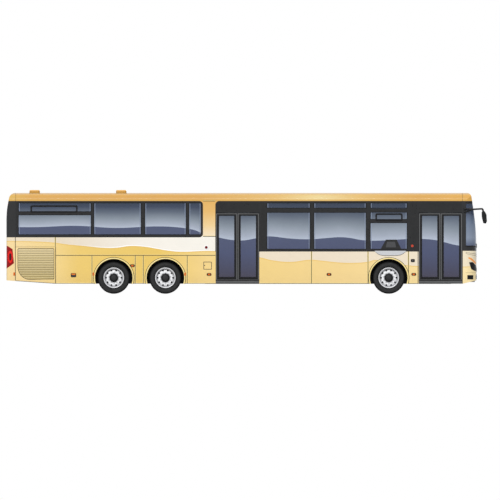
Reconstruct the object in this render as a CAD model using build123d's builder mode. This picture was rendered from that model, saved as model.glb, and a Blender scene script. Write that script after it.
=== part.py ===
"""Three-axle low-entry city bus, fifteen metres long, as an assembly of named pieces.

Frame: +X forward, +Y to the left, +Z up, millimetres, standing on Z = 0.  Lengthwise places
are stations, measured forward from the rear bumper.  Passenger doors are on the right (-Y).
"""
import os
from math import cos, radians, sin

from build123d import *

os.makedirs("parts", exist_ok=True)

# ---------------------------------------------------------------- driving dimensions: body
BODY_LENGTH = 14900
BODY_WIDTH = 2550
HALF_WIDTH = BODY_WIDTH / 2
ROOF_Z = 3195
SKIRT_Z = 320
NOSE_LIFT_Z = 425           # lower edge of the bumpers at both ends
REAR_RAMP = 1540            # length of the sloping skirt behind the rear axle
FRONT_RAMP = 430
WALL = 55                   # side wall, roof and cap thickness
ROOF_CORNER_R = 200
ROOF_CROWN = 35
CREST = 6                   # end lines pass this far over the roof's highest line
COVE_Z = 2942               # lower edge of the roof shell
REAR_WAIST_Z = 1788         # side panel top over the raised rear floor
MID_WAIST_Z = 1338          # side panel top along the low floor
REAR_SEAM = 280             # rear cap to body joint
FRONT_SEAM = BODY_LENGTH - 447      # front cap to body joint
SCREEN_SEAM = BODY_LENGTH - 333     # front pillar to windscreen
REAR_CORNER_R = 120
NOSE_CORNER_R = 330
NOSE_CROWN = 35

# ---------------------------------------------------------------- driving dimensions: axles
TAG_STATION = 3401
DRIVE_STATION = 5037
FRONT_STATION = BODY_LENGTH - 2783
TYRE_R = 507
TYRE_W = 275
RIM_R = 320
RIM_BARREL_R = 300
RIM_W = 220
TWIN_SPACING = 310
WHEEL_Y = HALF_WIDTH - 162          # centre plane of the outer wheels
KINGPIN_Y = WHEEL_Y - 113
ARCH_R = 590                # wheel opening in the side panel
HOUSE_R = 600               # wheel house over each wheel
HOUSE_T = 12
FRONT_HOUSE_Y = KINGPIN_Y - 480     # inner wall of the steered wheel houses
REAR_HOUSE_Y = WHEEL_Y - 513

# ---------------------------------------------------------------- driving dimensions: floor
FLOOR_T = 40
LOW_FLOOR_Z = 415
HIGH_FLOOR_Z = 960
ENGINE_DECK_Z = 1300
ENGINE_DECK_END = 1900
STEP_START = 5900
STEP_RUN = 220
STEP_COUNT = 3
RAIL_Y = 430
RAIL_W = 70
LOW_RAIL_H = 60
HIGH_RAIL_H = 120

# ---------------------------------------------------------------- driving dimensions: doors
DOOR_WIDTH = 1385
MID_DOOR = 6630             # rear jamb of each doorway
FRONT_DOOR = FRONT_SEAM - DOOR_WIDTH
DOOR_TOP_Z = 2577
LEAF_T = 45
JAMB_GAP = 9
LEAF_GAP = 12               # between the two leaves
COLUMN_R = 20
COLUMN_BEHIND_JAMB = 42
COLUMN_INBOARD = 100
PIVOT_FROM_JAMB = 285
PIVOT_INBOARD = 60
ARM_T = 12
ARM_GAP = 6.5               # above and below an arm
LEAF_LIFT = ARM_T + 2 * ARM_GAP     # leaf above the floor and below the header
ARM_W = 28
PIN_R = 8
LEAF_FRAME = 60

# ---------------------------------------------------------------- driving dimensions: glazing
GLASS_T = 8
GLASS_SETBACK = 4
PANE_CORNER = 24            # clipped corners of the panes

# ---------------------------------------------------------------- clearances
SEAT = 0.3                  # between a moving piece and its seat
MOVING_GAP = 6
HINGE_GAP = 8
HINGE_INSET = 5

# ---------------------------------------------------------------- mirrors
MIRROR_REACH = 330          # ahead of the nose
MIRROR_SIZE = (230, 400)    # width and height of a head
MIRROR_Y = HALF_WIDTH + 25

INNER_Y = HALF_WIDTH - WALL
OVERALL_LENGTH = BODY_LENGTH + MIRROR_REACH
SIDES = {"right": -1, "left": 1}
AXLES = {"tag": TAG_STATION, "drive": DRIVE_STATION, "front": FRONT_STATION}
FAR = 4 * BODY_WIDTH


def x_at(station):
    """World X of a station measured forward from the rear bumper."""
    return station - OVERALL_LENGTH / 2


def span_box(stations, ys, heights, mode=Mode.ADD):
    """Box between two stations, two Y values and two heights."""
    size = (stations[1] - stations[0], ys[1] - ys[0], heights[1] - heights[0])
    centre = (x_at(sum(stations) / 2), sum(ys) / 2, sum(heights) / 2)
    with Locations(centre):
        Box(*size, mode=mode)


def side_plane(side, depth=0):
    """Upright plane at a depth inside the outer face of one side, local X forward, Y up."""
    return Plane(origin=(0, side * (HALF_WIDTH - depth), 0), x_dir=(1, 0, 0), z_dir=(0, -1, 0))


def clipped_rectangle(x, z, width, height, corner):
    """Rectangle with clipped corners in the current sketch."""
    half_w, half_h = width / 2, height / 2
    with BuildLine() as outline:
        Polyline((x - half_w, z - half_h + corner), (x - half_w + corner, z - half_h),
                 (x + half_w - corner, z - half_h), (x + half_w, z - half_h + corner),
                 (x + half_w, z + half_h - corner), (x + half_w - corner, z + half_h),
                 (x - half_w + corner, z + half_h), (x - half_w, z + half_h - corner), close=True)
    make_face(outline.edges())


def finish(part, label):
    """Label one piece and write it."""
    part.label = label
    export_step(part, f"parts/{label}.step")


# ================================================================ body hull
# columns: station, Z, outward normal X, outward normal Z; the arcs run through three rows each
NOSE_LINE = (
    (BODY_LENGTH - 305, ROOF_Z + CREST, 0, 1),
    (BODY_LENGTH - 195, ROOF_Z - 50, 0.6, 0.8),
    (BODY_LENGTH - 157, ROOF_Z - 152, 0.97, 0.24),
    (BODY_LENGTH - 64, 2438, 0.995, 0.1),
    (BODY_LENGTH, 1200, 1, 0),
)
TAIL_LINE = (
    (0, 2300, -1, 0),
    (22, 2690, -0.995, 0.1),
    (88, ROOF_Z - 128, -0.95, 0.31),
    (158, ROOF_Z - 40, -0.64, 0.77),
    (300, ROOF_Z + CREST, 0, 1),
)


def end_points(rows, inset):
    """Points of an end line drawn in along its normals."""
    return [(x_at(station) - inset * normal_x, z - inset * normal_z)
            for station, z, normal_x, normal_z in rows]


def body_hull(inset):
    """Closed outer form of the body, drawn in by inset, reaching below the skirt when inset."""
    low = SKIRT_Z - 3 * inset
    half = HALF_WIDTH - inset
    corner_r = ROOF_CORNER_R - inset
    shoulder_z = ROOF_Z - ROOF_CROWN - ROOF_CORNER_R
    shoulder_y = HALF_WIDTH - ROOF_CORNER_R
    nose = end_points(NOSE_LINE, inset)
    tail = end_points(TAIL_LINE, inset)
    nose_x = x_at(BODY_LENGTH) - inset
    tail_x = x_at(0) + inset
    with BuildPart() as hull:
        with BuildSketch(Plane.YZ.offset(x_at(0))):
            with BuildLine():
                Polyline((-half, shoulder_z), (-half, low), (half, low), (half, shoulder_z))
                CenterArc((shoulder_y, shoulder_z), corner_r, 0, 90)
                ThreePointArc((shoulder_y, shoulder_z + corner_r), (0, ROOF_Z - inset),
                              (-shoulder_y, shoulder_z + corner_r))
                CenterArc((-shoulder_y, shoulder_z), corner_r, 90, 90)
            make_face()
        extrude(amount=BODY_LENGTH)
        with BuildSketch(Plane.XZ):
            with BuildLine():
                Line(tail[4], nose[0])
                ThreePointArc(*nose[0:3])
                ThreePointArc(*nose[2:5])
                Polyline(nose[4], (nose_x, low), (tail_x, low), tail[0])
                ThreePointArc(*tail[0:3])
                ThreePointArc(*tail[2:5])
            make_face()
        extrude(amount=BODY_WIDTH, both=True, mode=Mode.INTERSECT)
        with BuildSketch(Plane.XY.offset(low)) as plan:
            with BuildLine():
                Polyline((nose_x - NOSE_CROWN, half), (tail_x, half), (tail_x, -half),
                         (nose_x - NOSE_CROWN, -half))
                ThreePointArc((nose_x - NOSE_CROWN, -half), (nose_x, 0),
                              (nose_x - NOSE_CROWN, half))
            make_face()
            fillet(plan.vertices().group_by(Axis.X)[-1], radius=NOSE_CORNER_R - inset)
            fillet(plan.vertices().group_by(Axis.X)[0], radius=REAR_CORNER_R - inset)
        extrude(amount=ROOF_Z - low, mode=Mode.INTERSECT)
    return hull.part


outer_hull = body_hull(0)
inner_hull = body_hull(WALL)

with BuildPart() as body_shell:
    add(outer_hull)
    add(inner_hull, mode=Mode.SUBTRACT)
    with BuildSketch(Plane.XZ):
        with BuildLine():
            Polyline((x_at(-1), SKIRT_Z - 1), (x_at(REAR_RAMP), SKIRT_Z - 1),
                     (x_at(REAR_RAMP), SKIRT_Z), (x_at(-1), NOSE_LIFT_Z), close=True)
        make_face()
        with BuildLine():
            Polyline((x_at(BODY_LENGTH + 1), SKIRT_Z - 1),
                     (x_at(BODY_LENGTH - FRONT_RAMP), SKIRT_Z - 1),
                     (x_at(BODY_LENGTH - FRONT_RAMP), SKIRT_Z),
                     (x_at(BODY_LENGTH + 1), NOSE_LIFT_Z), close=True)
        make_face()
    extrude(amount=BODY_WIDTH, both=True, mode=Mode.SUBTRACT)


# ================================================================ windows
# columns: first station, last station
REAR_BAYS = ((380, 2679), (2774, 4264), (4390, 5690), (5785, 6166))
FRONT_BAY = (FRONT_STATION - 581, FRONT_STATION + 579)
MID_BAYS = ((8258, 9621), (9748, FRONT_BAY[0] - 140))
DOORSIDE_BAY = (6800, 8130)         # left side, opposite the middle door
DRIVER_BAY = (FRONT_DOOR + 127, FRONT_SEAM - 123)
REAR_ROWS = ((1880, 2498), (2609, 2878))
TALL_ROWS = ((1880, 2878),)
MID_ROWS = ((1420, 2577), (2720, 2878))
FRONT_ROWS = ((1420, 2248), (2362, 2583), (2696, 2878))
# black cover plate over the front wheel
GUSSET_BASE = (FRONT_STATION - 254, FRONT_STATION + 398)
GUSSET_TOP = (FRONT_STATION - 89, FRONT_STATION + 250)
GUSSET_TOP_Z = 1718

BAND_REAR_END = 6229
PILLAR_END = MID_DOOR - JAMB_GAP


def bay_rows(bays, rows):
    """Every pane of some bays as (first station, last station, low Z, high Z)."""
    return [(start, end, low, high) for start, end in bays for low, high in rows]


REAR_PANES = bay_rows(REAR_BAYS[:1], REAR_ROWS) + bay_rows(REAR_BAYS[1:], TALL_ROWS)
MID_PANES = bay_rows(MID_BAYS, MID_ROWS) + bay_rows((FRONT_BAY,), FRONT_ROWS)
PANES = {
    "right": REAR_PANES + MID_PANES,
    "left": REAR_PANES + MID_PANES + bay_rows((DOORSIDE_BAY, DRIVER_BAY), MID_ROWS),
}


def pane_faces(side_name):
    """Pane outlines of one side in the current sketch."""
    for start, end, low, high in PANES[side_name]:
        clipped_rectangle(x_at((start + end) / 2), (low + high) / 2, end - start, high - low,
                          PANE_CORNER)
    with BuildLine() as gusset:
        Polyline((x_at(GUSSET_BASE[0]), FRONT_ROWS[0][0] - 1),
                 (x_at(GUSSET_BASE[1]), FRONT_ROWS[0][0] - 1),
                 (x_at(GUSSET_TOP[1]), GUSSET_TOP_Z), (x_at(GUSSET_TOP[0]), GUSSET_TOP_Z),
                 close=True)
    make_face(gusset.edges(), mode=Mode.SUBTRACT)


def cut_arches(side):
    """Round wheel openings through one side panel."""
    with BuildSketch(side_plane(side, WALL / 2)) as arches:
        with Locations(*[(x_at(station), TYRE_R) for station in AXLES.values()]):
            Circle(ARCH_R)
    extrude(arches.sketch, amount=WALL, both=True, mode=Mode.SUBTRACT)


# ================================================================ opening panels
ENGINE_SIDE_DOOR = (REAR_SEAM + MOVING_GAP, 1547, 0, 1482)      # columns: stations, low Z, high Z
GRILLE = (365, 1500, 456, 1427)
FUEL_FLAP = (6248, 6502, 773, 1011)
FLAP_T = 20
LID_T = 45                  # engine doors
HINGE_PIN_R = 4
POCKET_DEPTH = FLAP_T + HINGE_GAP
REAR_DOOR_Y = HALF_WIDTH - 455
REAR_DOOR_Z = (560, 1500)


# ---------------------------------------------------------------- roof and caps
with BuildPart() as roof_shell:
    add(body_shell.part)
    span_box((REAR_SEAM, FRONT_SEAM), (-FAR, FAR), (COVE_Z, ROOF_Z + WALL), Mode.INTERSECT)
finish(roof_shell.part, "roof_shell")

SCREEN_Z = (1500, 2890)
REAR_WINDOW_Y = HALF_WIDTH - 335
REAR_WINDOW_Z = (1900, 2760)


def from_nose(rows):
    """Outline given by distances back from the nose, as (station, Z)."""
    return tuple((BODY_LENGTH - back, z) for back, z in rows)


# side outlines of the lamps, running out past the body's ends
HEADLAMP = from_nose(((237, 1000), (115, 1006), (-1, 880), (-1, 700), (165, 775)))
INDICATOR = from_nose(((278, 1132), (245, 1162), (158, 1132), (-1, 985), (-1, 915), (195, 1085)))
FOG_LAMP = from_nose(((220, 466), (220, 583), (-1, 583), (-1, 466)))
TAIL_LAMP = ((-1, 1524), (44, 1512), (193, 1414), (238, 967), (44, 826), (-1, 800))
# columns: side outline, inner Y, outer Y
FRONT_LAMPS = ((HEADLAMP, HALF_WIDTH - 575, HALF_WIDTH + 1),
               (INDICATOR, HALF_WIDTH - 415, HALF_WIDTH + 1),
               (FOG_LAMP, HALF_WIDTH - 515, HALF_WIDTH - 275))
TAIL_LAMPS = ((TAIL_LAMP, HALF_WIDTH - 265, HALF_WIDTH + 1),)
LAMP_T = 30


def lamp_prisms(rows):
    """Lamp regions at both corners of one end, as solids."""
    prisms = []
    for outline, inner, outer in rows:
        for side in SIDES.values():
            start, end = sorted((side * inner, side * outer))
            with BuildPart() as prism:
                with BuildSketch(Plane.XZ.offset(-end)):
                    with BuildLine():
                        Polyline(*[(x_at(station), z) for station, z in outline], close=True)
                    make_face()
                extrude(amount=end - start)
            prisms.append(prism.part)
    return prisms


with BuildPart() as front_cap:
    add(body_shell.part)
    span_box((FRONT_SEAM, BODY_LENGTH + 1), (-FAR, FAR), (0, ROOF_Z + WALL), Mode.INTERSECT)
    span_box((SCREEN_SEAM, BODY_LENGTH + 1), (-FAR, FAR), SCREEN_Z, Mode.SUBTRACT)
    for lamp in lamp_prisms(FRONT_LAMPS):
        add(lamp, mode=Mode.SUBTRACT)
finish(front_cap.part, "front_cap")

with BuildPart() as rear_cap:
    add(body_shell.part)
    span_box((-1, REAR_SEAM), (-FAR, FAR), (0, ROOF_Z + WALL), Mode.INTERSECT)
    span_box((-1, REAR_SEAM), (-REAR_WINDOW_Y, REAR_WINDOW_Y), REAR_WINDOW_Z, Mode.SUBTRACT)
    span_box((-1, REAR_SEAM), (-REAR_DOOR_Y - MOVING_GAP, REAR_DOOR_Y + MOVING_GAP),
             (REAR_DOOR_Z[0] - MOVING_GAP, REAR_DOOR_Z[1] + HINGE_GAP), Mode.SUBTRACT)
    for lamp in lamp_prisms(TAIL_LAMPS):
        add(lamp, mode=Mode.SUBTRACT)
finish(rear_cap.part, "rear_cap")

with BuildPart() as glazing_shell:
    add(body_hull(GLASS_SETBACK))
    add(body_hull(GLASS_SETBACK + GLASS_T), mode=Mode.SUBTRACT)

with BuildPart() as windscreen:
    add(glazing_shell.part)
    span_box((SCREEN_SEAM, BODY_LENGTH + 1), (-FAR, FAR), SCREEN_Z, Mode.INTERSECT)
finish(windscreen.part, "windscreen")

with BuildPart() as rear_window:
    add(glazing_shell.part)
    span_box((-1, REAR_SEAM), (-REAR_WINDOW_Y, REAR_WINDOW_Y), REAR_WINDOW_Z, Mode.INTERSECT)
finish(rear_window.part, "rear_window")

with BuildPart() as lamp_shell:
    add(outer_hull)
    add(body_hull(LAMP_T), mode=Mode.SUBTRACT)

for label, rows in (("front_lamps", FRONT_LAMPS), ("tail_lamps", TAIL_LAMPS)):
    with BuildPart() as lamp_space:
        for lamp in lamp_prisms(rows):
            add(lamp)
    with BuildPart() as lamps:
        add(lamp_shell.part)
        add(lamp_space.part, mode=Mode.INTERSECT)
    finish(lamps.part, label)

# ---------------------------------------------------------------- rear engine door
with BuildPart() as engine_door:
    add(body_shell.part)
    span_box((-1, LID_T), (-REAR_DOOR_Y, REAR_DOOR_Y), REAR_DOOR_Z, Mode.INTERSECT)
    pin_half = REAR_DOOR_Y + MOVING_GAP - SEAT
    with BuildSketch(Plane.XZ) as pin:
        with Locations((x_at(HINGE_INSET), REAR_DOOR_Z[1] - HINGE_INSET)):
            Circle(HINGE_PIN_R)
    extrude(amount=pin_half, both=True)
finish(engine_door.part, "engine_door")


# ---------------------------------------------------------------- side panels
def side_strip(side):
    """Y span holding one side wall."""
    return sorted((side * (INNER_Y - 1), side * (HALF_WIDTH + 1)))


with BuildPart() as side_panels_right:
    add(body_shell.part)
    span_box((REAR_SEAM, FRONT_SEAM), side_strip(-1), (0, COVE_Z), Mode.INTERSECT)
    span_box((REAR_SEAM, BAND_REAR_END), side_strip(-1), (REAR_WAIST_Z, COVE_Z), Mode.SUBTRACT)
    span_box((PILLAR_END, FRONT_SEAM), side_strip(-1), (MID_WAIST_Z, COVE_Z), Mode.SUBTRACT)
    for start in (MID_DOOR, FRONT_DOOR):
        span_box((start, start + DOOR_WIDTH), side_strip(-1), (0, MID_WAIST_Z), Mode.SUBTRACT)
    span_box((PILLAR_END, MID_DOOR + 1), side_strip(-1), (MID_WAIST_Z, COVE_Z), Mode.SUBTRACT)
    cut_arches(-1)
    span_box((REAR_SEAM - 1, ENGINE_SIDE_DOOR[1] + MOVING_GAP), side_strip(-1),
             (0, ENGINE_SIDE_DOOR[3] + HINGE_GAP), Mode.SUBTRACT)
    span_box((FUEL_FLAP[0] - MOVING_GAP, FUEL_FLAP[1] + HINGE_GAP),
             (-HALF_WIDTH - 1, -HALF_WIDTH + POCKET_DEPTH),
             (FUEL_FLAP[2] - MOVING_GAP, FUEL_FLAP[3] + MOVING_GAP), Mode.SUBTRACT)
finish(side_panels_right.part, "side_panels_right")

with BuildPart() as side_panels_left:
    add(body_shell.part)
    span_box((REAR_SEAM, FRONT_SEAM), side_strip(1), (0, COVE_Z), Mode.INTERSECT)
    span_box((REAR_SEAM, BAND_REAR_END), side_strip(1), (REAR_WAIST_Z, COVE_Z), Mode.SUBTRACT)
    span_box((PILLAR_END, FRONT_SEAM), side_strip(1), (MID_WAIST_Z, COVE_Z), Mode.SUBTRACT)
    cut_arches(1)
finish(side_panels_left.part, "side_panels_left")

# ---------------------------------------------------------------- window bands and side glass
# columns: side, first stations of its doorways
for side_name, doorways in (("right", (MID_DOOR, FRONT_DOOR)), ("left", ())):
    side = SIDES[side_name]
    with BuildPart() as band:
        add(body_shell.part)
        span_box((REAR_SEAM, FRONT_SEAM), side_strip(side), (MID_WAIST_Z, COVE_Z), Mode.INTERSECT)
        span_box((REAR_SEAM, BAND_REAR_END), side_strip(side), (MID_WAIST_Z, REAR_WAIST_Z),
                 Mode.SUBTRACT)
        span_box((BAND_REAR_END, PILLAR_END), side_strip(side), (MID_WAIST_Z, COVE_Z),
                 Mode.SUBTRACT)
        for start in doorways:
            span_box((start, start + DOOR_WIDTH), side_strip(side), (MID_WAIST_Z, DOOR_TOP_Z),
                     Mode.SUBTRACT)
        with BuildSketch(side_plane(side, WALL / 2)) as panes:
            pane_faces(side_name)
        extrude(panes.sketch, amount=WALL, both=True, mode=Mode.SUBTRACT)
    finish(band.part, f"window_band_{side_name}")

with BuildPart() as side_glass:
    for side_name, side in SIDES.items():
        with BuildSketch(side_plane(side, GLASS_SETBACK + GLASS_T / 2)) as panes:
            pane_faces(side_name)
        extrude(panes.sketch, amount=GLASS_T / 2, both=True)
finish(side_glass.part, "side_glass")

# ---------------------------------------------------------------- louvred engine side door
LOUVRE_PITCH = 72
LOUVRE_T = 8
LOUVRE_RISE = 66            # with the blade's thickness a little over the pitch
LOUVRE_DEPTH = 26
GRILLE_CORNER_R = 60
GRILLE_SWEEP = (405, 750)       # curved lower rear corner: low Z of its start, end station


def grille_outline(grow):
    """Louvre opening, grown by a margin, as a face of the current sketch."""
    start, end, low, high = GRILLE
    sweep_z, sweep_end = GRILLE[2] + GRILLE_SWEEP[0], GRILLE_SWEEP[1]
    with BuildLine() as outline:
        Polyline((x_at(start) - grow, sweep_z), (x_at(start) - grow, high + grow),
                 (x_at(end) + grow, high + grow), (x_at(end) + grow, low - grow),
                 (x_at(sweep_end), low - grow))
        TangentArc((x_at(sweep_end), low - grow), (x_at(start) - grow, sweep_z),
                   tangent=(-1, 0))
    make_face(outline.edges())


with BuildPart() as engine_side_panel:
    add(body_shell.part)
    span_box(ENGINE_SIDE_DOOR[0:2], (-HALF_WIDTH - 1, -HALF_WIDTH + LID_T),
             ENGINE_SIDE_DOOR[2:4], Mode.INTERSECT)
    with BuildSketch(side_plane(-1, WALL / 2)) as opening:
        grille_outline(0)
    extrude(opening.sketch, amount=WALL, both=True, mode=Mode.SUBTRACT)
with BuildPart() as louvre_block:
    with BuildSketch(side_plane(-1, WALL / 2)) as opening:
        grille_outline(0)
    extrude(opening.sketch, amount=WALL / 2, both=True)
louvre_count = int((GRILLE[3] - GRILLE[2]) / LOUVRE_PITCH)
with BuildPart() as louvres:
    with BuildSketch(Plane.YZ.offset(x_at(GRILLE[0] - 1))) as blades:
        for row in range(louvre_count):
            foot = GRILLE[2] + (row + 0.4) * LOUVRE_PITCH
            with BuildLine():
                Polyline((-HALF_WIDTH + 2, foot), (-HALF_WIDTH + 2 + LOUVRE_DEPTH, foot + LOUVRE_RISE),
                         (-HALF_WIDTH + 2 + LOUVRE_DEPTH, foot + LOUVRE_RISE + LOUVRE_T),
                         (-HALF_WIDTH + 2, foot + LOUVRE_T), close=True)
            make_face()
    extrude(amount=GRILLE[1] - GRILLE[0] + 2)
    add(louvre_block.part, mode=Mode.INTERSECT)
with BuildPart() as engine_side_door:
    add(engine_side_panel.part)
    add(louvres.part)
    pin_start = ENGINE_SIDE_DOOR[0] - MOVING_GAP + SEAT
    pin_end = ENGINE_SIDE_DOOR[1] + MOVING_GAP - SEAT
    with BuildSketch(Plane.YZ.offset(x_at(pin_start))) as pin:
        with Locations((-HALF_WIDTH + HINGE_INSET, ENGINE_SIDE_DOOR[3] - HINGE_INSET)):
            Circle(HINGE_PIN_R)
    extrude(pin.sketch, amount=pin_end - pin_start)
finish(engine_side_door.part, "engine_side_door")

# ---------------------------------------------------------------- fuel flap
with BuildPart() as fuel_flap:
    with BuildSketch(side_plane(-1, FLAP_T / 2)) as flap_face:
        with Locations((x_at(sum(FUEL_FLAP[0:2]) / 2), sum(FUEL_FLAP[2:4]) / 2)):
            RectangleRounded(FUEL_FLAP[1] - FUEL_FLAP[0], FUEL_FLAP[3] - FUEL_FLAP[2], 24)
    extrude(amount=FLAP_T / 2, both=True)
    pin_low = FUEL_FLAP[2] - MOVING_GAP + SEAT
    with BuildSketch(Plane.XY.offset(pin_low)) as pin:
        with Locations((x_at(FUEL_FLAP[1] - HINGE_INSET), -HALF_WIDTH + HINGE_INSET)):
            Circle(HINGE_PIN_R)
    extrude(pin.sketch, amount=FUEL_FLAP[3] + MOVING_GAP - SEAT - pin_low)
finish(fuel_flap.part, "fuel_flap")

# ---------------------------------------------------------------- roof ventilators
# columns: station of the centre
VENT_STATIONS = (894, 3639)
VENT_SIZE = (330, 700)
VENT_TOP = 95
with BuildPart() as roof_vents:
    with Locations(*[(x_at(station), 0, ROOF_Z + (VENT_TOP - ROOF_CROWN) / 2)
                     for station in VENT_STATIONS]):
        Box(*VENT_SIZE, VENT_TOP + ROOF_CROWN)
    fillet(roof_vents.edges().filter_by(Axis.Z), radius=60)
    fillet(roof_vents.faces().group_by(Axis.Z)[-1].edges(), radius=38)
    add(outer_hull, mode=Mode.SUBTRACT)
finish(roof_vents.part, "roof_vents")

# ================================================================ floor and wheel houses
HOUSES = (
    ("tag", REAR_HOUSE_Y, SKIRT_Z),
    ("drive", REAR_HOUSE_Y, SKIRT_Z),
    ("front", FRONT_HOUSE_Y, LOW_FLOOR_Z - FLOOR_T),
)   # columns: axle, inner wall Y, lower edge of the inner wall
AXLE_SLOT = 130             # half width of the slot round a rigid axle
STEP_RISE = (HIGH_FLOOR_Z - LOW_FLOOR_Z) / STEP_COUNT
STEP_END = STEP_START + (STEP_COUNT - 1) * STEP_RUN
FLOOR_SPANS = ((ENGINE_DECK_END, STEP_START - FLOOR_T), (STEP_END, BODY_LENGTH))
STEP_SPANS = ((0, ENGINE_DECK_END), (STEP_START - FLOOR_T, STEP_END))


def floor_line():
    """Tread corners of the floor from the engine deck to the front, as (station, Z)."""
    corners = [(0, ENGINE_DECK_Z), (ENGINE_DECK_END, ENGINE_DECK_Z),
               (ENGINE_DECK_END, HIGH_FLOOR_Z), (STEP_START, HIGH_FLOOR_Z)]
    for step in range(1, STEP_COUNT):
        tread = HIGH_FLOOR_Z - step * STEP_RISE
        corners += [(STEP_START + (step - 1) * STEP_RUN, tread),
                    (STEP_START + step * STEP_RUN, tread)]
    return corners + [(STEP_END, LOW_FLOOR_Z), (BODY_LENGTH, LOW_FLOOR_Z)]


def house_plane(axle, side, wall_y):
    """Upright plane on the inner wall of one wheel house, at its hub, facing outboard."""
    return Plane(origin=(x_at(AXLES[axle]), side * (wall_y - HOUSE_T), TYRE_R),
                 x_dir=(-side, 0, 0), z_dir=(0, side, 0))


with BuildPart() as floor_slab:
    with BuildSketch(Plane.XZ):
        upper = [(x_at(station), z) for station, z in floor_line()]
        lower = [(x - FLOOR_T, z - FLOOR_T) for x, z in upper]
        lower[0] = (upper[0][0], lower[0][1])
        lower[-1] = (upper[-1][0], lower[-1][1])
        with BuildLine():
            Polyline(*upper, *reversed(lower), close=True)
        make_face()
    extrude(amount=BODY_WIDTH, both=True)
    add(inner_hull, mode=Mode.INTERSECT)
    for axle, wall_y, wall_low in HOUSES:
        for side in SIDES.values():
            with BuildSketch(house_plane(axle, side, wall_y)) as house:
                Circle(HOUSE_R + HOUSE_T)
            extrude(house.sketch, amount=INNER_Y - wall_y + HOUSE_T, mode=Mode.SUBTRACT)

for label, spans in (("floor", FLOOR_SPANS), ("floor_steps", STEP_SPANS)):
    with BuildPart() as region:
        for stations in spans:
            span_box(stations, (-HALF_WIDTH, HALF_WIDTH), (0, ROOF_Z))
    with BuildPart() as level:
        add(floor_slab.part)
        add(region.part, mode=Mode.INTERSECT)
    finish(level.part, label)

with BuildPart() as wheel_houses:
    for axle, wall_y, wall_low in HOUSES:
        for side in SIDES.values():
            plane = house_plane(axle, side, wall_y)
            with BuildSketch(plane) as disc:
                Circle(HOUSE_R + HOUSE_T)
                with Locations((0, wall_low - TYRE_R - FAR / 2)):
                    Rectangle(FAR, FAR, mode=Mode.SUBTRACT)
                if axle != "front":
                    with Locations((0, AXLE_SLOT - FAR / 2)):
                        Rectangle(2 * AXLE_SLOT, FAR, mode=Mode.SUBTRACT)
            extrude(disc.sketch, amount=HOUSE_T)
            with BuildSketch(plane) as tunnel:
                Circle(HOUSE_R + HOUSE_T)
                Circle(HOUSE_R, mode=Mode.SUBTRACT)
                with Locations((0, wall_low - TYRE_R - FAR / 2)):
                    Rectangle(FAR, FAR, mode=Mode.SUBTRACT)
            extrude(tunnel.sketch, amount=INNER_Y - wall_y + HOUSE_T)
finish(wheel_houses.part, "wheel_houses")

# ---------------------------------------------------------------- door sills
with BuildPart() as door_sills:
    for start in (MID_DOOR, FRONT_DOOR):
        span_box((start, start + DOOR_WIDTH), (-HALF_WIDTH, -INNER_Y),
                 (SKIRT_Z + 20, LOW_FLOOR_Z))
finish(door_sills.part, "door_sills")

# ---------------------------------------------------------------- chassis frame
RAIL_END = BODY_LENGTH - 800
KINK = (5600, 6300)
LOW_MEMBERS = (*range(6700, FRONT_STATION - 1700, 1200), FRONT_STATION - 817,
               FRONT_STATION + 783, RAIL_END - 300)
# columns: station, half width
HIGH_MEMBERS = ((2100, INNER_Y), (4180, INNER_Y), (5510, REAR_HOUSE_Y - 2 * HOUSE_T))
MEMBER_W = 80
TOW_BORE_R = 18
TOW_LUG_LENGTH = 60         # at the front end of each rail, bored lengthwise
TOW_LUG_W = 110
with BuildPart() as chassis_frame:
    low_top = LOW_FLOOR_Z - FLOOR_T
    high_top = HIGH_FLOOR_Z - FLOOR_T
    with BuildSketch(Plane.XZ) as rail_side:
        with BuildLine():
            Polyline((x_at(REAR_SEAM + 60), high_top), (x_at(KINK[0]), high_top),
                     (x_at(KINK[1]), low_top), (x_at(RAIL_END), low_top),
                     (x_at(RAIL_END), low_top - LOW_RAIL_H),
                     (x_at(KINK[1]), low_top - LOW_RAIL_H),
                     (x_at(KINK[0]), high_top - HIGH_RAIL_H),
                     (x_at(REAR_SEAM + 60), high_top - HIGH_RAIL_H), close=True)
        make_face()
    extrude(amount=RAIL_Y + RAIL_W / 2, both=True)
    span_box((0, BODY_LENGTH), (-RAIL_Y + RAIL_W / 2, RAIL_Y - RAIL_W / 2), (0, ROOF_Z),
             Mode.SUBTRACT)
    for station in LOW_MEMBERS:
        span_box((station, station + MEMBER_W), (-INNER_Y, INNER_Y),
                 (low_top - LOW_RAIL_H + 20, low_top))
    for station, half in HIGH_MEMBERS:
        span_box((station, station + MEMBER_W), (-half, half),
                 (high_top - HIGH_RAIL_H + 20, high_top))
    lug_start = RAIL_Y + RAIL_W / 2
    for side in SIDES.values():
        lug_y = sorted((side * lug_start, side * (lug_start + TOW_LUG_W)))
        span_box((RAIL_END - TOW_LUG_LENGTH, RAIL_END), lug_y, (low_top - LOW_RAIL_H, low_top))
    with BuildSketch(Plane.YZ.offset(x_at(RAIL_END - TOW_LUG_LENGTH))) as tow_bores:
        for side in SIDES.values():
            with Locations((side * (lug_start + TOW_LUG_W / 2), low_top - LOW_RAIL_H / 2)):
                Circle(TOW_BORE_R)
    extrude(tow_bores.sketch, amount=TOW_LUG_LENGTH, mode=Mode.SUBTRACT)
finish(chassis_frame.part, "chassis_frame")


# ================================================================ axles
def axle_plane(station, side, y=0):
    """Upright plane across a hub, local X outboard, local Y up, for profiles turned about Y."""
    return Plane(origin=(x_at(station), side * y, TYRE_R), x_dir=(0, side, 0), z_dir=(side, 0, 0))


def axle_axis(station):
    """Turning axis of the wheels at one station."""
    return Axis((x_at(station), 0, TYRE_R), (0, 1, 0))


def post(x, y, z_low, z_high, radius, mode=Mode.ADD):
    """Upright round bar."""
    with Locations((x, y, (z_low + z_high) / 2)):
        Cylinder(radius, z_high - z_low, mode=mode)


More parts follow.
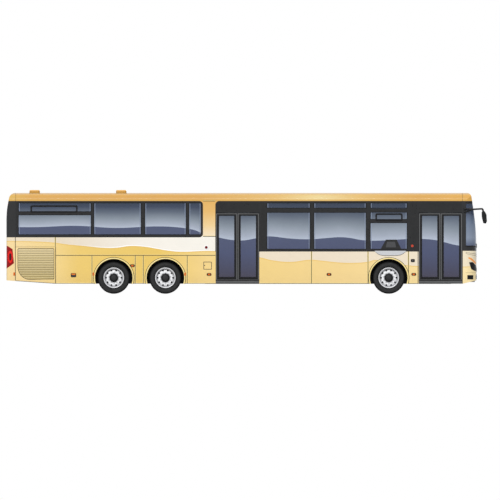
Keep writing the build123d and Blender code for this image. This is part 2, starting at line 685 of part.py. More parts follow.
HUB_R = 133
HUB_INNER = -25             # inboard face of a hub, from the wheel's centre plane
HUB_FACE = 72
HUB_CAP = (95, 100)         # radius, outboard face
SPINDLE_R = 38
DRIVE_SPINDLE_R = 60
SPINDLE_END = 47
AXLE_TUBE_R = {"tag": 70, "drive": 80}
BELLOWS_R = 90
DIFFERENTIAL_R = 190
DIFFERENTIAL_HALF = (70, 170)           # half widths at the rim and at the tubes
BEAM_W = 80
BEAM_H = 80
# right half of the beam's centre drop: Y of the upper and of the lower corners
BEAM_UPPER = (600, 900)
BEAM_LOWER = (660, 940)
EYE_R = 45
EYE_HALF = 57
KINGPIN_R = 25
LUG_T = 40
FLANGE_GAP = 7
FLANGE_T = 24
FLANGE_W = 140
beam_top = LOW_FLOOR_Z - FLOOR_T - LOW_RAIL_H
rail_bottom = HIGH_FLOOR_Z - FLOOR_T - HIGH_RAIL_H

with BuildPart() as front_axle:
    with BuildSketch(Plane.YZ.offset(x_at(FRONT_STATION))):
        with BuildLine():
            Polyline((0, beam_top), (BEAM_UPPER[0], beam_top),
                     (BEAM_UPPER[1], TYRE_R + EYE_HALF), (KINGPIN_Y, TYRE_R + EYE_HALF),
                     (KINGPIN_Y, TYRE_R - EYE_HALF), (BEAM_LOWER[1], TYRE_R - EYE_HALF),
                     (BEAM_LOWER[0], beam_top - BEAM_H), (0, beam_top - BEAM_H), close=True)
        make_face()
        mirror(about=Plane.YZ)
    extrude(amount=BEAM_W / 2, both=True)
    for side in SIDES.values():
        post(x_at(FRONT_STATION), side * KINGPIN_Y, TYRE_R - EYE_HALF, TYRE_R + EYE_HALF, EYE_R)
        post(x_at(FRONT_STATION), side * KINGPIN_Y, 0, 2 * TYRE_R, KINGPIN_R + SEAT,
             Mode.SUBTRACT)
finish(front_axle.part, "front_axle")

for side_name, side in SIDES.items():
    pin_x = x_at(FRONT_STATION)
    flange_y = KINGPIN_Y + EYE_R + FLANGE_GAP
    lug_low = TYRE_R - EYE_HALF - SEAT
    lug_high = TYRE_R + EYE_HALF + SEAT
    with BuildPart() as knuckle:
        post(pin_x, side * KINGPIN_Y, lug_low - LUG_T, lug_high + LUG_T, KINGPIN_R)
        for low in (lug_low - LUG_T, lug_high):
            post(pin_x, side * KINGPIN_Y, low, low + LUG_T, EYE_R)
            with Locations((pin_x, side * (KINGPIN_Y + flange_y) / 2, low + LUG_T / 2)):
                Box(2 * EYE_R, flange_y - KINGPIN_Y, LUG_T)
        with Locations((pin_x, side * (flange_y + FLANGE_T / 2), TYRE_R)):
            Box(FLANGE_W, FLANGE_T, lug_high - lug_low + 2 * LUG_T)
        with BuildSketch(axle_plane(FRONT_STATION, side)):
            with BuildLine():
                Polyline((flange_y, 0), (WHEEL_Y + SPINDLE_END, 0),
                         (WHEEL_Y + SPINDLE_END, SPINDLE_R), (flange_y, SPINDLE_R), close=True)
            make_face()
        revolve(axis=axle_axis(FRONT_STATION))
    finish(knuckle.part, f"front_knuckle_{side_name}")

# columns: axle, tube end, spindle radius
RIGID_AXLES = (
    ("tag", WHEEL_Y + HUB_INNER - MOVING_GAP, SPINDLE_R),
    ("drive", WHEEL_Y - TWIN_SPACING + HUB_INNER - MOVING_GAP, DRIVE_SPINDLE_R),
)
for axle, tube_end, spindle_r in RIGID_AXLES:
    with BuildPart() as rigid_axle:
        with BuildSketch(axle_plane(AXLES[axle], 1)):
            with BuildLine():
                Polyline((0, 0), (WHEEL_Y + SPINDLE_END, 0), (WHEEL_Y + SPINDLE_END, spindle_r),
                         (tube_end, spindle_r), (tube_end, AXLE_TUBE_R[axle]),
                         (0, AXLE_TUBE_R[axle]), close=True)
            make_face()
            mirror(about=Plane.YZ)
        revolve(axis=axle_axis(AXLES[axle]))
        for side in SIDES.values():
            post(x_at(AXLES[axle]), side * RAIL_Y, TYRE_R + AXLE_TUBE_R[axle] / 2, rail_bottom,
                 BELLOWS_R)
        if axle == "drive":
            with BuildSketch(axle_plane(AXLES[axle], 1)) as casing:
                with BuildLine():
                    Polyline((0, 0), (0, DIFFERENTIAL_R), (DIFFERENTIAL_HALF[0], DIFFERENTIAL_R),
                             (DIFFERENTIAL_HALF[1], AXLE_TUBE_R[axle]),
                             (DIFFERENTIAL_HALF[1], 0), close=True)
                make_face()
                mirror(about=Plane.YZ)
            revolve(axis=axle_axis(AXLES[axle]))
    finish(rigid_axle.part, f"{axle}_axle")

# ================================================================ wheels
RIM_T = 12
FLANGE_LEAN = 8
HAND_HOLES = 10
HAND_HOLE_R = 32
HAND_HOLE_SIDES = 8
HAND_HOLE_CENTRE = 245
BEAD_W = RIM_W / 2 - RIM_T
BEAD_SLOPE = FLANGE_LEAN / (RIM_R - RIM_BARREL_R)
SIDEWALL_R = RIM_BARREL_R + (TYRE_W / 2 - BEAD_W) / BEAD_SLOPE
SHOULDER = (27, 37, 5)      # tread edge inset, shoulder drop, shoulder inset


def barrel_points(shift):
    """Rim barrel with its two flanges, as (axial, radial)."""
    half = RIM_W / 2
    inner_r = RIM_BARREL_R - RIM_T
    flange = BEAD_W + FLANGE_LEAN
    return [(shift + a, r) for a, r in (
        (-half, inner_r), (-half, RIM_R), (-flange, RIM_R), (-BEAD_W, RIM_BARREL_R),
        (BEAD_W, RIM_BARREL_R), (flange, RIM_R), (half, RIM_R), (half, inner_r))]


def disc_points(shift):
    """Dished wheel disc, from the hub out into the barrel, as (axial, radial)."""
    inner_r = RIM_BARREL_R - RIM_T
    return [(shift + a, r) for a, r in (
        (36, HUB_R - 10), (36, 210), (8, inner_r), (8, inner_r + 4), (22, inner_r + 4),
        (22, inner_r), (50, 216), (50, HUB_R - 10))]


def tyre_points(shift):
    """Tyre section down to the rim barrel, as (axial, radial)."""
    tread, drop, shoulder = SHOULDER
    half = TYRE_W / 2
    return [(shift + a, r) for a, r in (
        (-BEAD_W, RIM_BARREL_R), (-half, SIDEWALL_R), (-half + shoulder, TYRE_R - drop),
        (-half + tread, TYRE_R), (half - tread, TYRE_R), (half - shoulder, TYRE_R - drop),
        (half, SIDEWALL_R), (BEAD_W, RIM_BARREL_R))]


def ring_sketch(plane, outlines):
    """Sketch of several closed outlines on one plane."""
    with BuildSketch(plane) as rings:
        for points in outlines:
            with BuildLine() as outline:
                Polyline(*points, close=True)
            make_face(outline.edges())
    return rings.sketch


for axle, station in AXLES.items():
    shifts = (0, -TWIN_SPACING) if axle == "drive" else (0,)
    bore_r = (DRIVE_SPINDLE_R if axle == "drive" else SPINDLE_R) + SEAT
    hub_inner = shifts[-1] + HUB_INNER
    for side_name, side in SIDES.items():
        plane = axle_plane(station, side, WHEEL_Y)
        hub_points = [(hub_inner, bore_r), (hub_inner, HUB_R), (HUB_FACE, HUB_R),
                      (HUB_FACE, HUB_CAP[0]), (HUB_CAP[1], HUB_CAP[0]), (HUB_CAP[1], 0),
                      (SPINDLE_END + MOVING_GAP, 0), (SPINDLE_END + MOVING_GAP, bore_r)]
        with BuildPart() as rim:
            outlines = [hub_points]
            for shift in shifts:
                outlines += [barrel_points(shift), disc_points(shift)]
            for outline in outlines:
                revolve(ring_sketch(plane, [outline]), axis=axle_axis(station))
            with BuildSketch(Plane(origin=(x_at(station), side * (WHEEL_Y - FAR / 2), TYRE_R),
                                   x_dir=(-side, 0, 0), z_dir=(0, side, 0))) as holes:
                with PolarLocations(HAND_HOLE_CENTRE, HAND_HOLES):
                    RegularPolygon(HAND_HOLE_R, HAND_HOLE_SIDES)
            extrude(holes.sketch, amount=FAR, mode=Mode.SUBTRACT)
        finish(rim.part, f"{axle}_rim_{side_name}")
        with BuildPart() as tyre:
            revolve(ring_sketch(plane, [tyre_points(shift) for shift in shifts]),
                    axis=axle_axis(station))
        finish(tyre.part, f"{axle}_tyre_{side_name}")

# ================================================================ passenger doors
LEAF_W = (DOOR_WIDTH - 2 * JAMB_GAP - LEAF_GAP) / 2
LEAF_LOW = LOW_FLOOR_Z + LEAF_LIFT
LEAF_HIGH = DOOR_TOP_Z - LEAF_LIFT
LEAF_KICK = 90             # solid foot of a leaf
LEAF_HEAD = 79
LEAF_GLASS_CORNER = 20
HOUSING_LOW = 2600
HOUSING_HIGH = 2840
HOUSING_DEPTH = 180
HOUSING_END = 90
LEAF_LUG_H = 18
LUG_R = 15
PIN_END_GAP = 4
column_y = -HALF_WIDTH + COLUMN_INBOARD
pivot_y = -HALF_WIDTH + PIVOT_INBOARD
# columns: doorway, leaf, station of the jamb, direction away from the jamb
LEAVES = [(door, leaf, start + (0 if leaf == "rear" else DOOR_WIDTH), 1 if leaf == "rear" else -1)
          for door, start in (("mid", MID_DOOR), ("front", FRONT_DOOR))
          for leaf in ("rear", "fore")]


def leaf_window(centre_x):
    """Glazed part of one leaf in the current sketch."""
    low, high = LEAF_LOW + LEAF_KICK, LEAF_HIGH - LEAF_HEAD
    clipped_rectangle(centre_x, (low + high) / 2, LEAF_W - 2 * LEAF_FRAME, high - low,
                      LEAF_GLASS_CORNER)


for door, leaf, jamb, away in LEAVES:
    name = f"{door}_door_{leaf}"
    jamb_x = x_at(jamb)
    centre_x = jamb_x + away * (JAMB_GAP + LEAF_W / 2)
    column_x = jamb_x - away * COLUMN_BEHIND_JAMB
    pivot_x = jamb_x + away * PIVOT_FROM_JAMB
    with BuildPart() as door_leaf:
        with BuildSketch(side_plane(-1, LEAF_T / 2)) as plate:
            with Locations((centre_x, (LEAF_LOW + LEAF_HIGH) / 2)):
                Rectangle(LEAF_W, LEAF_HIGH - LEAF_LOW)
        extrude(amount=LEAF_T / 2, both=True)
        with BuildSketch(side_plane(-1, LEAF_T / 2)) as window:
            leaf_window(centre_x)
        extrude(amount=LEAF_T, both=True, mode=Mode.SUBTRACT)
        lug_root = -HALF_WIDTH + LEAF_T
        for lug_low, pin_low, pin_high in (
                (LEAF_LOW, LEAF_LOW - LEAF_LIFT + PIN_END_GAP, LEAF_LOW),
                (LEAF_HIGH - LEAF_LUG_H, LEAF_HIGH, LEAF_HIGH + LEAF_LIFT - PIN_END_GAP)):
            post(pivot_x, pivot_y, lug_low, lug_low + LEAF_LUG_H, LUG_R)
            with Locations((pivot_x, (lug_root + pivot_y) / 2, lug_low + LEAF_LUG_H / 2)):
                Box(2 * LUG_R, pivot_y - lug_root, LEAF_LUG_H)
            post(pivot_x, pivot_y, pin_low, pin_high, PIN_R)
    finish(door_leaf.part, f"{name}_leaf")
    with BuildPart() as door_glass:
        with BuildSketch(side_plane(-1, GLASS_SETBACK + GLASS_T / 2)) as window:
            leaf_window(centre_x)
        extrude(amount=GLASS_T / 2, both=True)
    finish(door_glass.part, f"{name}_glass")
    with BuildPart() as door_arm:
        post(column_x, column_y, LOW_FLOOR_Z + SEAT, HOUSING_LOW - SEAT, COLUMN_R)
        for height in (LEAF_LOW - LEAF_LIFT / 2, LEAF_HIGH + LEAF_LIFT / 2):
            with BuildSketch(Plane.XY.offset(height - ARM_T / 2)) as arm:
                SlotCenterPoint(((column_x + pivot_x) / 2, (column_y + pivot_y) / 2),
                                (pivot_x, pivot_y), ARM_W)
                with Locations((pivot_x, pivot_y)):
                    Circle(PIN_R + SEAT, mode=Mode.SUBTRACT)
            extrude(amount=ARM_T)
    finish(door_arm.part, f"{name}_arm")

with BuildPart() as door_housings:
    for start in (MID_DOOR, FRONT_DOOR):
        span_box((start - HOUSING_END, start + DOOR_WIDTH + HOUSING_END),
                 (-INNER_Y, -INNER_Y + HOUSING_DEPTH), (HOUSING_LOW, HOUSING_HIGH))
    add(inner_hull, mode=Mode.INTERSECT)
finish(door_housings.part, "door_housings")

# ================================================================ saloon
SEAT_W = 840
SEAT_INNER_Y = 360
SEAT_TOP = 470              # cushion top above its floor
SEAT_DEPTH = 440
SEAT_PAD = 80
SEAT_NOSE = 10             # front edge below the cushion's back
BACK_TOP = 1020
BACK_LEAN = 90
BACK_FOOT = SEAT_PAD + 10   # where the back meets the cushion
PAN_T = 14
LEG_W = 70
LEG_SPAN = (120, 320)       # of a leg, ahead of the seat back's foot
# columns: station of the seat back's foot, floor Z, sides
SEAT_ROWS = (
    [(station, ENGINE_DECK_Z) for station in (700, 1400)]
    + [(station, HIGH_FLOOR_Z) for station in (2250, 3000, 3750, 4500, 5250)]
    + [(station, LOW_FLOOR_Z)
       for station in range(8450, FRONT_STATION - HOUSE_R - SEAT_DEPTH, 750)])
DRIVER_SEAT = (FRONT_SEAM - 803, 560)       # station, inner Y
DRIVER_SEAT_W = 520


def seat_places():
    """Every seat as (station, floor Z, low Y, high Y)."""
    places = []
    for station, floor_z in SEAT_ROWS:
        for side in SIDES.values():
            low, high = sorted((side * SEAT_INNER_Y, side * (SEAT_INNER_Y + SEAT_W)))
            places.append((station, floor_z, low, high))
    station, inner = DRIVER_SEAT
    places.append((station, LOW_FLOOR_Z, inner, inner + DRIVER_SEAT_W))
    return places


with BuildPart() as seat_cushions:
    for station, floor_z, low, high in seat_places():
        x, z = x_at(station), floor_z + SEAT_TOP
        with BuildSketch(Plane.XZ.offset(-high)) as seat:
            with BuildLine() as outline:
                Polyline((x, z - SEAT_PAD), (x + SEAT_DEPTH, z - SEAT_PAD),
                         (x + SEAT_DEPTH, z - SEAT_NOSE), (x + BACK_FOOT, z),
                         (x + SEAT_PAD - BACK_LEAN, floor_z + BACK_TOP),
                         (x - BACK_LEAN, floor_z + BACK_TOP), close=True)
            make_face(outline.edges())
        extrude(seat.sketch, amount=high - low)
finish(seat_cushions.part, "seat_cushions")

with BuildPart() as seat_frames:
    for station, floor_z, low, high in seat_places():
        pan_top = floor_z + SEAT_TOP - SEAT_PAD
        span_box((station, station + SEAT_DEPTH), (low, high), (pan_top - PAN_T, pan_top))
        leg_y = min(abs(low), abs(high)) + 1.5 * LEG_W
        leg_y = leg_y if low > 0 else -leg_y
        span_box((station + LEG_SPAN[0], station + LEG_SPAN[1]),
                 (leg_y - LEG_W / 2, leg_y + LEG_W / 2), (floor_z, pan_top - PAN_T))
finish(seat_frames.part, "seat_frames")

RAIL_R = 17
HANDRAIL_Y = 322
HANDRAIL_Z = 2350
# columns: station, floor Z
LOW_POSTS = ((8250, LOW_FLOOR_Z), (9750, LOW_FLOOR_Z), (FRONT_STATION - 817, LOW_FLOOR_Z),
             (FRONT_STATION + 783, LOW_FLOOR_Z))
HIGH_POSTS = ((2080, HIGH_FLOOR_Z), (4330, HIGH_FLOOR_Z), (5830, HIGH_FLOOR_Z))
with BuildPart() as handrails:
    for side in SIDES.values():
        for station, floor_z in LOW_POSTS + HIGH_POSTS:
            post(x_at(station), side * HANDRAIL_Y, floor_z, ROOF_Z, RAIL_R)
        for first, last in ((LOW_POSTS[0][0], LOW_POSTS[-1][0]),
                            (HIGH_POSTS[0][0], HIGH_POSTS[-1][0])):
            with BuildSketch(Plane.YZ.offset(x_at(first))) as bar:
                with Locations((side * HANDRAIL_Y, HANDRAIL_Z)):
                    Circle(RAIL_R)
            extrude(bar.sketch, amount=last - first)
    add(inner_hull, mode=Mode.INTERSECT)
finish(handrails.part, "handrails")

# ---------------------------------------------------------------- driver's desk
DESK_START = FRONT_SEAM + 107
DESK_TOP = 1240
DESK_RIGHT = 175 - HALF_WIDTH
STEERING_R = 225
STEERING_RIM_T = 28
STEERING_HUB = (DESK_START - 270, 820, 1210)       # station, Y, Z
STEERING_LEAN = 60
STEERING_BOSS_R = 30
COLUMN_LENGTH = 600         # down into the desk
SPOKE_W = 26
SPOKE_T = 12
with BuildPart() as driver_desk:
    with BuildSketch(Plane.XZ.offset(-INNER_Y)) as desk:
        with BuildLine():
            Polyline((x_at(DESK_START), LOW_FLOOR_Z), (x_at(DESK_START), DESK_TOP - 120),
                     (x_at(DESK_START - 60), DESK_TOP - 20), (x_at(DESK_START), DESK_TOP),
                     (x_at(BODY_LENGTH), DESK_TOP), (x_at(BODY_LENGTH), LOW_FLOOR_Z),
                     close=True)
        make_face()
    extrude(amount=INNER_Y - DESK_RIGHT)
    add(inner_hull, mode=Mode.INTERSECT)
    wheel_plane = Plane(origin=(x_at(STEERING_HUB[0]), STEERING_HUB[1], STEERING_HUB[2]),
                        x_dir=(0, 1, 0),
                        z_dir=(cos(radians(STEERING_LEAN)), 0, -sin(radians(STEERING_LEAN))))
    with BuildSketch(wheel_plane):
        Circle(STEERING_BOSS_R)
    extrude(amount=COLUMN_LENGTH)
    with BuildSketch(wheel_plane):
        Rectangle(2 * STEERING_R, SPOKE_W)
        Rectangle(SPOKE_W, 2 * STEERING_R)
    extrude(amount=SPOKE_T)
    with BuildSketch(wheel_plane):
        Circle(STEERING_R + STEERING_RIM_T / 2)
        Circle(STEERING_R - STEERING_RIM_T / 2, mode=Mode.SUBTRACT)
    extrude(amount=STEERING_RIM_T / 2, both=True)
finish(driver_desk.part, "driver_desk")

# ================================================================ mirrors
HEAD_STATION = OVERALL_LENGTH - 120
HEAD_TOP_Z = 2625
HEAD_CORNER_R = 22
# side outline of a mirror head, leaning forward; columns: station, Z
HEAD_OUTLINE = ((HEAD_STATION - 48, 2600), (HEAD_STATION + 40, HEAD_TOP_Z),
                (HEAD_STATION + 105, 2520), (OVERALL_LENGTH, 2300),
                (HEAD_STATION + 90, HEAD_TOP_Z - MIRROR_SIZE[1]), (HEAD_STATION + 8, 2236),
                (HEAD_STATION - 40, 2420))
ARM_TUBE_R = 19
FOOT = (FRONT_SEAM + 37, FRONT_SEAM + 77, 2575, 2720)       # mirror foot on the body side: stations, heights
FOOT_T = 40
# points of each arm; columns: station, reach outside the body, Z
UPPER_ARM = ((FRONT_SEAM + 57, FOOT_T / 2, 2695), (BODY_LENGTH - 100, 100, 2678),
             (HEAD_STATION - 30, MIRROR_Y - HALF_WIDTH, 2694),
             (HEAD_STATION, MIRROR_Y - HALF_WIDTH, 2590))
LOWER_ARM = ((FRONT_SEAM + 57, FOOT_T / 2, 2600), (BODY_LENGTH - 260, 50, 2622),
             (BODY_LENGTH - 100, 100, 2678))
ARM_BEND_R = 40
with BuildPart() as mirrors:
    for side in SIDES.values():
        foot_y = sorted((side * HALF_WIDTH, side * (HALF_WIDTH + FOOT_T)))
        span_box(FOOT[0:2], foot_y, FOOT[2:4])
        for arm in (UPPER_ARM, LOWER_ARM):
            corners = [(x_at(station), side * (HALF_WIDTH + reach), z)
                       for station, reach, z in arm]
            with BuildLine() as path:
                FilletPolyline(*corners, radius=ARM_BEND_R)
            with BuildSketch(Plane(origin=path.line @ 0, z_dir=path.line % 0)) as tube:
                Circle(ARM_TUBE_R)
            sweep(tube.sketch, path=path.line)
        with BuildSketch(Plane.XZ.offset(-side * MIRROR_Y)) as head:
            with BuildLine() as outline:
                Polyline(*[(x_at(station), z) for station, z in HEAD_OUTLINE], close=True)
            make_face(outline.edges())
            fillet(head.vertices(), radius=HEAD_CORNER_R)
        extrude(head.sketch, amount=MIRROR_SIZE[0] / 2, both=True)
finish(mirrors.part, "mirrors")

# ================================================================ side lamps
LENS_T = 10
LENS_CORNER = 0.28          # clipped corners, as a share of the smaller side
# columns: station, Z, width, height
SIDE_LAMPS = (
    (244, 628, 54, 105), (2758, 624, 54, 105), (5661, 624, 54, 105),
    (3988, 891, 95, 60), (6422, 615, 95, 60), (FRONT_STATION - 1894, 615, 95, 60),
    (FRONT_STATION + 794, 618, 95, 60), (6333, 1471, 88, 88), (FRONT_STATION + 746, 1518, 82, 82))
with BuildPart() as side_lamps:
    for side in SIDES.values():
        with BuildSketch(side_plane(side, -LENS_T / 2)) as lenses:
            for station, z, width, height in SIDE_LAMPS:
                clipped_rectangle(x_at(station), z, width, height,
                                  LENS_CORNER * min(width, height))
        extrude(lenses.sketch, amount=LENS_T / 2, both=True)
finish(side_lamps.part, "side_lamps")

# ================================================================ engine
ENGINE = ((380, 1700), (480, 1180))     # stations, heights
with BuildPart() as engine_block:
    span_box(ENGINE[0], (-RAIL_Y + RAIL_W / 2, RAIL_Y - RAIL_W / 2), ENGINE[1])
finish(engine_block.part, "engine_block")
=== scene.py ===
"""Looks of the three-axle city bus: materials, trim, wheels, seats and light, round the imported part.

Tables are in millimetres: stations run forward from the rear bumper, Z up from the ground.
"""
import math

import bmesh
import bpy
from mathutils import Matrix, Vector


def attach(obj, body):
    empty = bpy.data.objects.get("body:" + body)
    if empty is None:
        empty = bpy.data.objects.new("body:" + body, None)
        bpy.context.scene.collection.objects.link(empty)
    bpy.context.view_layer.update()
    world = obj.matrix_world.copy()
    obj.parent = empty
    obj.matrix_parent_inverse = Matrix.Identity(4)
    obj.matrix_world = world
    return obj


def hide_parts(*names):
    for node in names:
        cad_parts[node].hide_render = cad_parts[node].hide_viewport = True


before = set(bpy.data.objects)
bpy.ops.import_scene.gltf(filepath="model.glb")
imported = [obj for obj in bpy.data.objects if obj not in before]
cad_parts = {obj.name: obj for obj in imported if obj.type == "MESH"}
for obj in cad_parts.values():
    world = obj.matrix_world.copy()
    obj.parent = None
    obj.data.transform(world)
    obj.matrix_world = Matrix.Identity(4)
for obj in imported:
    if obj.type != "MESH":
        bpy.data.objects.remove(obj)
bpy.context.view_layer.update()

LENGTH = 15230
HALF_WIDTH = 1275
SIDES = {"right": -1, "left": 1}
AXLES = {"tag": 3401, "drive": 5037, "front": 12117}
HUB_Z = 507
WHEEL_Y = 1113
TWIN = 310
SKIRT_Z = 320
COVE_Z = 2942
CAP_JOINTS = (281, 14452)     # of the rear and the front end cap
LINED = (300, 14440)          # stations, half width and height of the saloon's lining
LINED_HALF, LINED_Z = 1.255, 2.93
REAR_WAIST_Z = 1788
MID_WAIST_Z = 1338


def place(station, y, z):
    """A point in the frame, in metres."""
    return ((station - LENGTH / 2) / 1000, y / 1000, z / 1000)


def metres(station):
    """X of a station."""
    return place(station, 0, 0)[0]


def arc(radius, steps, start=0.0, end=math.pi / 2):
    """Points (u, v) along an arc about the origin, with both ends."""
    angles = (start + (end - start) * k / steps for k in range(steps + 1))
    return [(radius * math.cos(a), radius * math.sin(a)) for a in angles]


def circle(radius, count, start=0.0):
    """Points (u, v) round the origin."""
    return arc(radius, count, start, start + 2 * math.pi)[:-1]


# ================ shader helpers
def rgb(code):
    """Linear colour of an sRGB hex code."""
    parts = [int(code[i:i + 2], 16) / 255 for i in (0, 2, 4)]
    return tuple(c / 12.92 if c <= 0.04045 else ((c + 0.055) / 1.055) ** 2.4 for c in parts) + (1,)


def put(tree, socket, value):
    """Links a socket to a value's node, or sets it."""
    if isinstance(value, bpy.types.NodeSocket):
        tree.links.new(value, socket)
    else:
        socket.default_value = rgb(value) if isinstance(value, str) else value


def add_node(tree, kind, inputs, output=0, **settings):
    """Output of a new node with these inputs and settings."""
    node = tree.nodes.new("ShaderNode" + kind)
    for key, value in settings.items():
        setattr(node, key, value)
    for key, value in inputs.items():
        put(tree, node.inputs[key], value)
    return node.outputs[output]


class Shade:
    """A node material being built; each call adds a node and returns its output."""

    def __init__(self, name, **constants):
        self.mat = bpy.data.materials.new(name)
        self.mat.use_nodes = True
        self.tree = self.mat.node_tree
        self.tree.nodes.clear()
        self.bsdf = self.tree.nodes.new("ShaderNodeBsdfPrincipled")
        out = self.tree.nodes.new("ShaderNodeOutputMaterial")
        self.tree.links.new(self.bsdf.outputs[0], out.inputs["Surface"])
        self.place = self.node("TexCoord", {}, "Object")
        split = self.tree.nodes.new("ShaderNodeSeparateXYZ")
        self.tree.links.new(self.place, split.inputs[0])
        self.x, self.y, self.z = split.outputs
        for key, value in constants.items():
            self.bsdf.inputs[key.replace("_", " ")].default_value = value

    def node(self, kind, inputs, output=0, **settings):
        return add_node(self.tree, kind, inputs, output, **settings)

    def math(self, kind, a, b=0.0, clamp=False):
        return self.node("Math", {0: a, 1: b}, operation=kind, use_clamp=clamp)

    def times(self, a, b):
        return self.math("MULTIPLY", a, b)

    def minus(self, a, b):
        return self.math("SUBTRACT", a, b)

    def below(self, a, b):
        return self.math("LESS_THAN", a, b)

    def over(self, a, b):
        return self.math("GREATER_THAN", a, b)

    def size(self, a):
        return self.math("ABSOLUTE", a)

    def span(self, value, low, high):
        """0 to 1 as value goes from low to high."""
        return self.node("MapRange", {"Value": value, "From Min": low, "From Max": high})

    def between(self, value, low, high):
        """1 where value lies between low and high."""
        return self.times(self.over(value, low), self.below(value, high))

    def reach(self, u, v):
        """Length of (u, v)."""
        return self.math("SQRT", self.math("ADD", self.math("POWER", u, 2.0),
                                           self.math("POWER", v, 2.0)))

    def ramp(self, value, stops):
        node = self.tree.nodes.new("ShaderNodeValToRGB")
        while len(node.color_ramp.elements) < len(stops):
            node.color_ramp.elements.new(0.5)
        for element, (position, colour) in zip(node.color_ramp.elements, stops):
            element.position = position
            element.color = rgb(colour) if isinstance(colour, str) else (colour,) * 3 + (1,)
        put(self.tree, node.inputs[0], value)
        return node.outputs[0]

    def line(self, rows):
        """Height in metres of a line given by (station, Z) rows, at this point's station."""
        node = self.tree.nodes.new("ShaderNodeFloatCurve")
        curve = node.mapping.curves[0]
        points = [(station / LENGTH, z / 3200) for station, z in rows]
        for position in points[1:-1]:
            curve.points.new(*position)
        for point, position in zip(curve.points, points):
            point.location = position
        node.mapping.update()
        put(self.tree, node.inputs["Value"], self.span(self.x, metres(0), metres(LENGTH)))
        return self.times(node.outputs[0], 3.2)

    def hub_radius(self):
        """Distance from the nearest axle, seen from the side."""
        across = [self.size(self.minus(self.x, metres(station))) for station in AXLES.values()]
        nearest = self.math("MINIMUM", across[0], self.math("MINIMUM", across[1], across[2]))
        return self.reach(nearest, self.minus(self.z, HUB_Z / 1000))

    def phase(self, foot, pitch):
        """0 to 1 up each pitch in Z from the foot, in millimetres."""
        return self.math("FRACT", self.times(self.minus(self.z, foot / 1000), 1000 / pitch))

    def mix(self, factor, a, b, kind="MIX"):
        return self.node("Mix", {0: factor, 6: a, 7: b}, 2, data_type="RGBA", blend_type=kind)

    def noise(self, scale, detail=2.0, vector=None):
        return self.node("TexNoise", {"Scale": scale, "Detail": detail,
                                      "Vector": vector or self.place}, "Fac")

    def cells(self, scale):
        return self.node("TexVoronoi", {"Scale": scale, "Vector": self.place}, "Distance")

    def wave(self, scale, axis="Z"):
        return self.node("TexWave", {"Scale": scale, "Vector": self.place}, "Fac",
                         bands_direction=axis)

    def grain(self, colour, scale, amount, detail=3.0):
        """Colour varied by a noise, a little darker and lighter."""
        tone = self.ramp(self.noise(scale, detail), ((0.3, 1 - amount), (0.7, 1.0)))
        return self.mix(1.0, colour, tone, "MULTIPLY")

    def bump(self, height, strength, distance):
        relief = self.node("Bump", {"Strength": strength, "Distance": distance, "Height": height})
        put(self.tree, self.bsdf.inputs["Normal"], relief)

    def finish(self, colour, rough=None):
        put(self.tree, self.bsdf.inputs["Base Color"], colour)
        if rough is not None:
            low, high, scale = rough
            value = self.ramp(self.noise(scale, 3.0), ((0.3, low), (0.7, high)))
            put(self.tree, self.bsdf.inputs["Roughness"], value)
        return self.mat


# ================ materials
# livery line, cream above and gold below; columns: station, Z
LIVERY_LINE = (
    (0, 1676), (1506, 1623), (1886, 1569), (2425, 1518), (3186, 1452), (3471, 1458),
    (3947, 1515), (4390, 1490), (4771, 1426), (5183, 1360), (5437, 1335), (6594, 1354),
    (8045, 1151), (8448, 1059), (8987, 1011), (9653, 1078), (10033, 1046), (10556, 992),
    (10952, 980), (11460, 1014), (11681, 1071), (12000, 1040), (12743, 900), (15230, 890))
# painted reflection in the tinted glass: the line between the reflected sky and street; columns: station, Z
GLASS_LINE = (
    (0, 2121), (935, 2114), (2171, 2156), (3471, 2089), (4771, 2137), (5278, 2121),
    (5690, 2076), (5975, 2016), (6166, 1937), (6736, 1782), (7199, 1702), (7465, 1690),
    (7941, 1769), (8258, 1820), (8987, 1753), (9621, 1728), (10160, 1769), (10635, 1794),
    (11412, 1690), (11903, 1690), (12696, 1734), (13159, 1740), (13647, 1696), (13888, 1636),
    (14370, 1528), (15230, 1500))
# colour ramps; columns: share of the way, colour
GOLD = ((0.0, "F2D59B"), (0.09, "F0D28C"), (0.15, "E9C66C"), (0.32, "E8C463"), (0.42, "F0D087"),
        (0.54, "EFCF84"), (0.74, "F1D28F"), (0.86, "F4D897"), (0.97, "F6DFA8"))
CREAM = ((0.0, "E8D8BB"), (0.12, "E4D5BD"), (0.28, "F1EADE"), (0.42, "F3EEE3"), (0.53, "E9DAC1"),
         (0.8, "EADBC3"), (0.97, "ECDDBE"))
PILLAR = ((0.0, "F1DFC0"), (0.3, "ECCC92"), (0.7, "E3B569"), (1.0, "DFAE5C"))
# roof colour along the length; its brighter middle is a painted highlight
ROOF = ((0.0, "CDA750"), (0.05, "CB994A"), (0.4, "CA9748"), (0.56, "D3AC63"), (0.65, "DAC488"),
        (0.74, "D3AC63"), (0.85, "CB994A"), (1.0, "D3A04A"))
# share of the way and strength of a painted highlight: a white line just above the livery line on the rear
# part
GLINT = ((0.15, 0.0), (0.23, 1.0), (0.41, 1.0), (0.45, 0.0))
BLADE = ((0.0, "A8935A"), (0.35, "9F9060"), (0.7, "A99A6C"), (1.0, "BBA97A"))
SLAT = ((0.0, "C6B070"), (0.35, "BEAA77"), (0.7, "CAB682"), (1.0, "D7C393"))
# painted reflections in the glass: sky above the street line, slate below it, and the windscreen's gradient
# in height
SKY = ((0.0, "BAC3D3"), (0.12, "A9B1BF"), (0.36, "8A949F"), (0.62, "606A79"), (0.84, "394459"),
       (1.0, "303A4C"))
SLATE = ((0.0, "433F50"), (0.3, "464963"), (0.6, "4A5170"), (1.0, "4F5774"))
SCREEN = ((0.0, "4C5672"), (0.2, "8B97AA"), (0.55, "707E94"), (0.8, "414C63"), (1.0, "2F3A4C"))
# tyre wall by radius: painted shade darkest at the wall's inner and outer edges
WALL = ((0.0, "060606"), (0.12, "0A0A0A"), (0.3, "262626"), (0.62, "2B2B2B"), (0.85, "141414"),
        (1.0, "060606"))
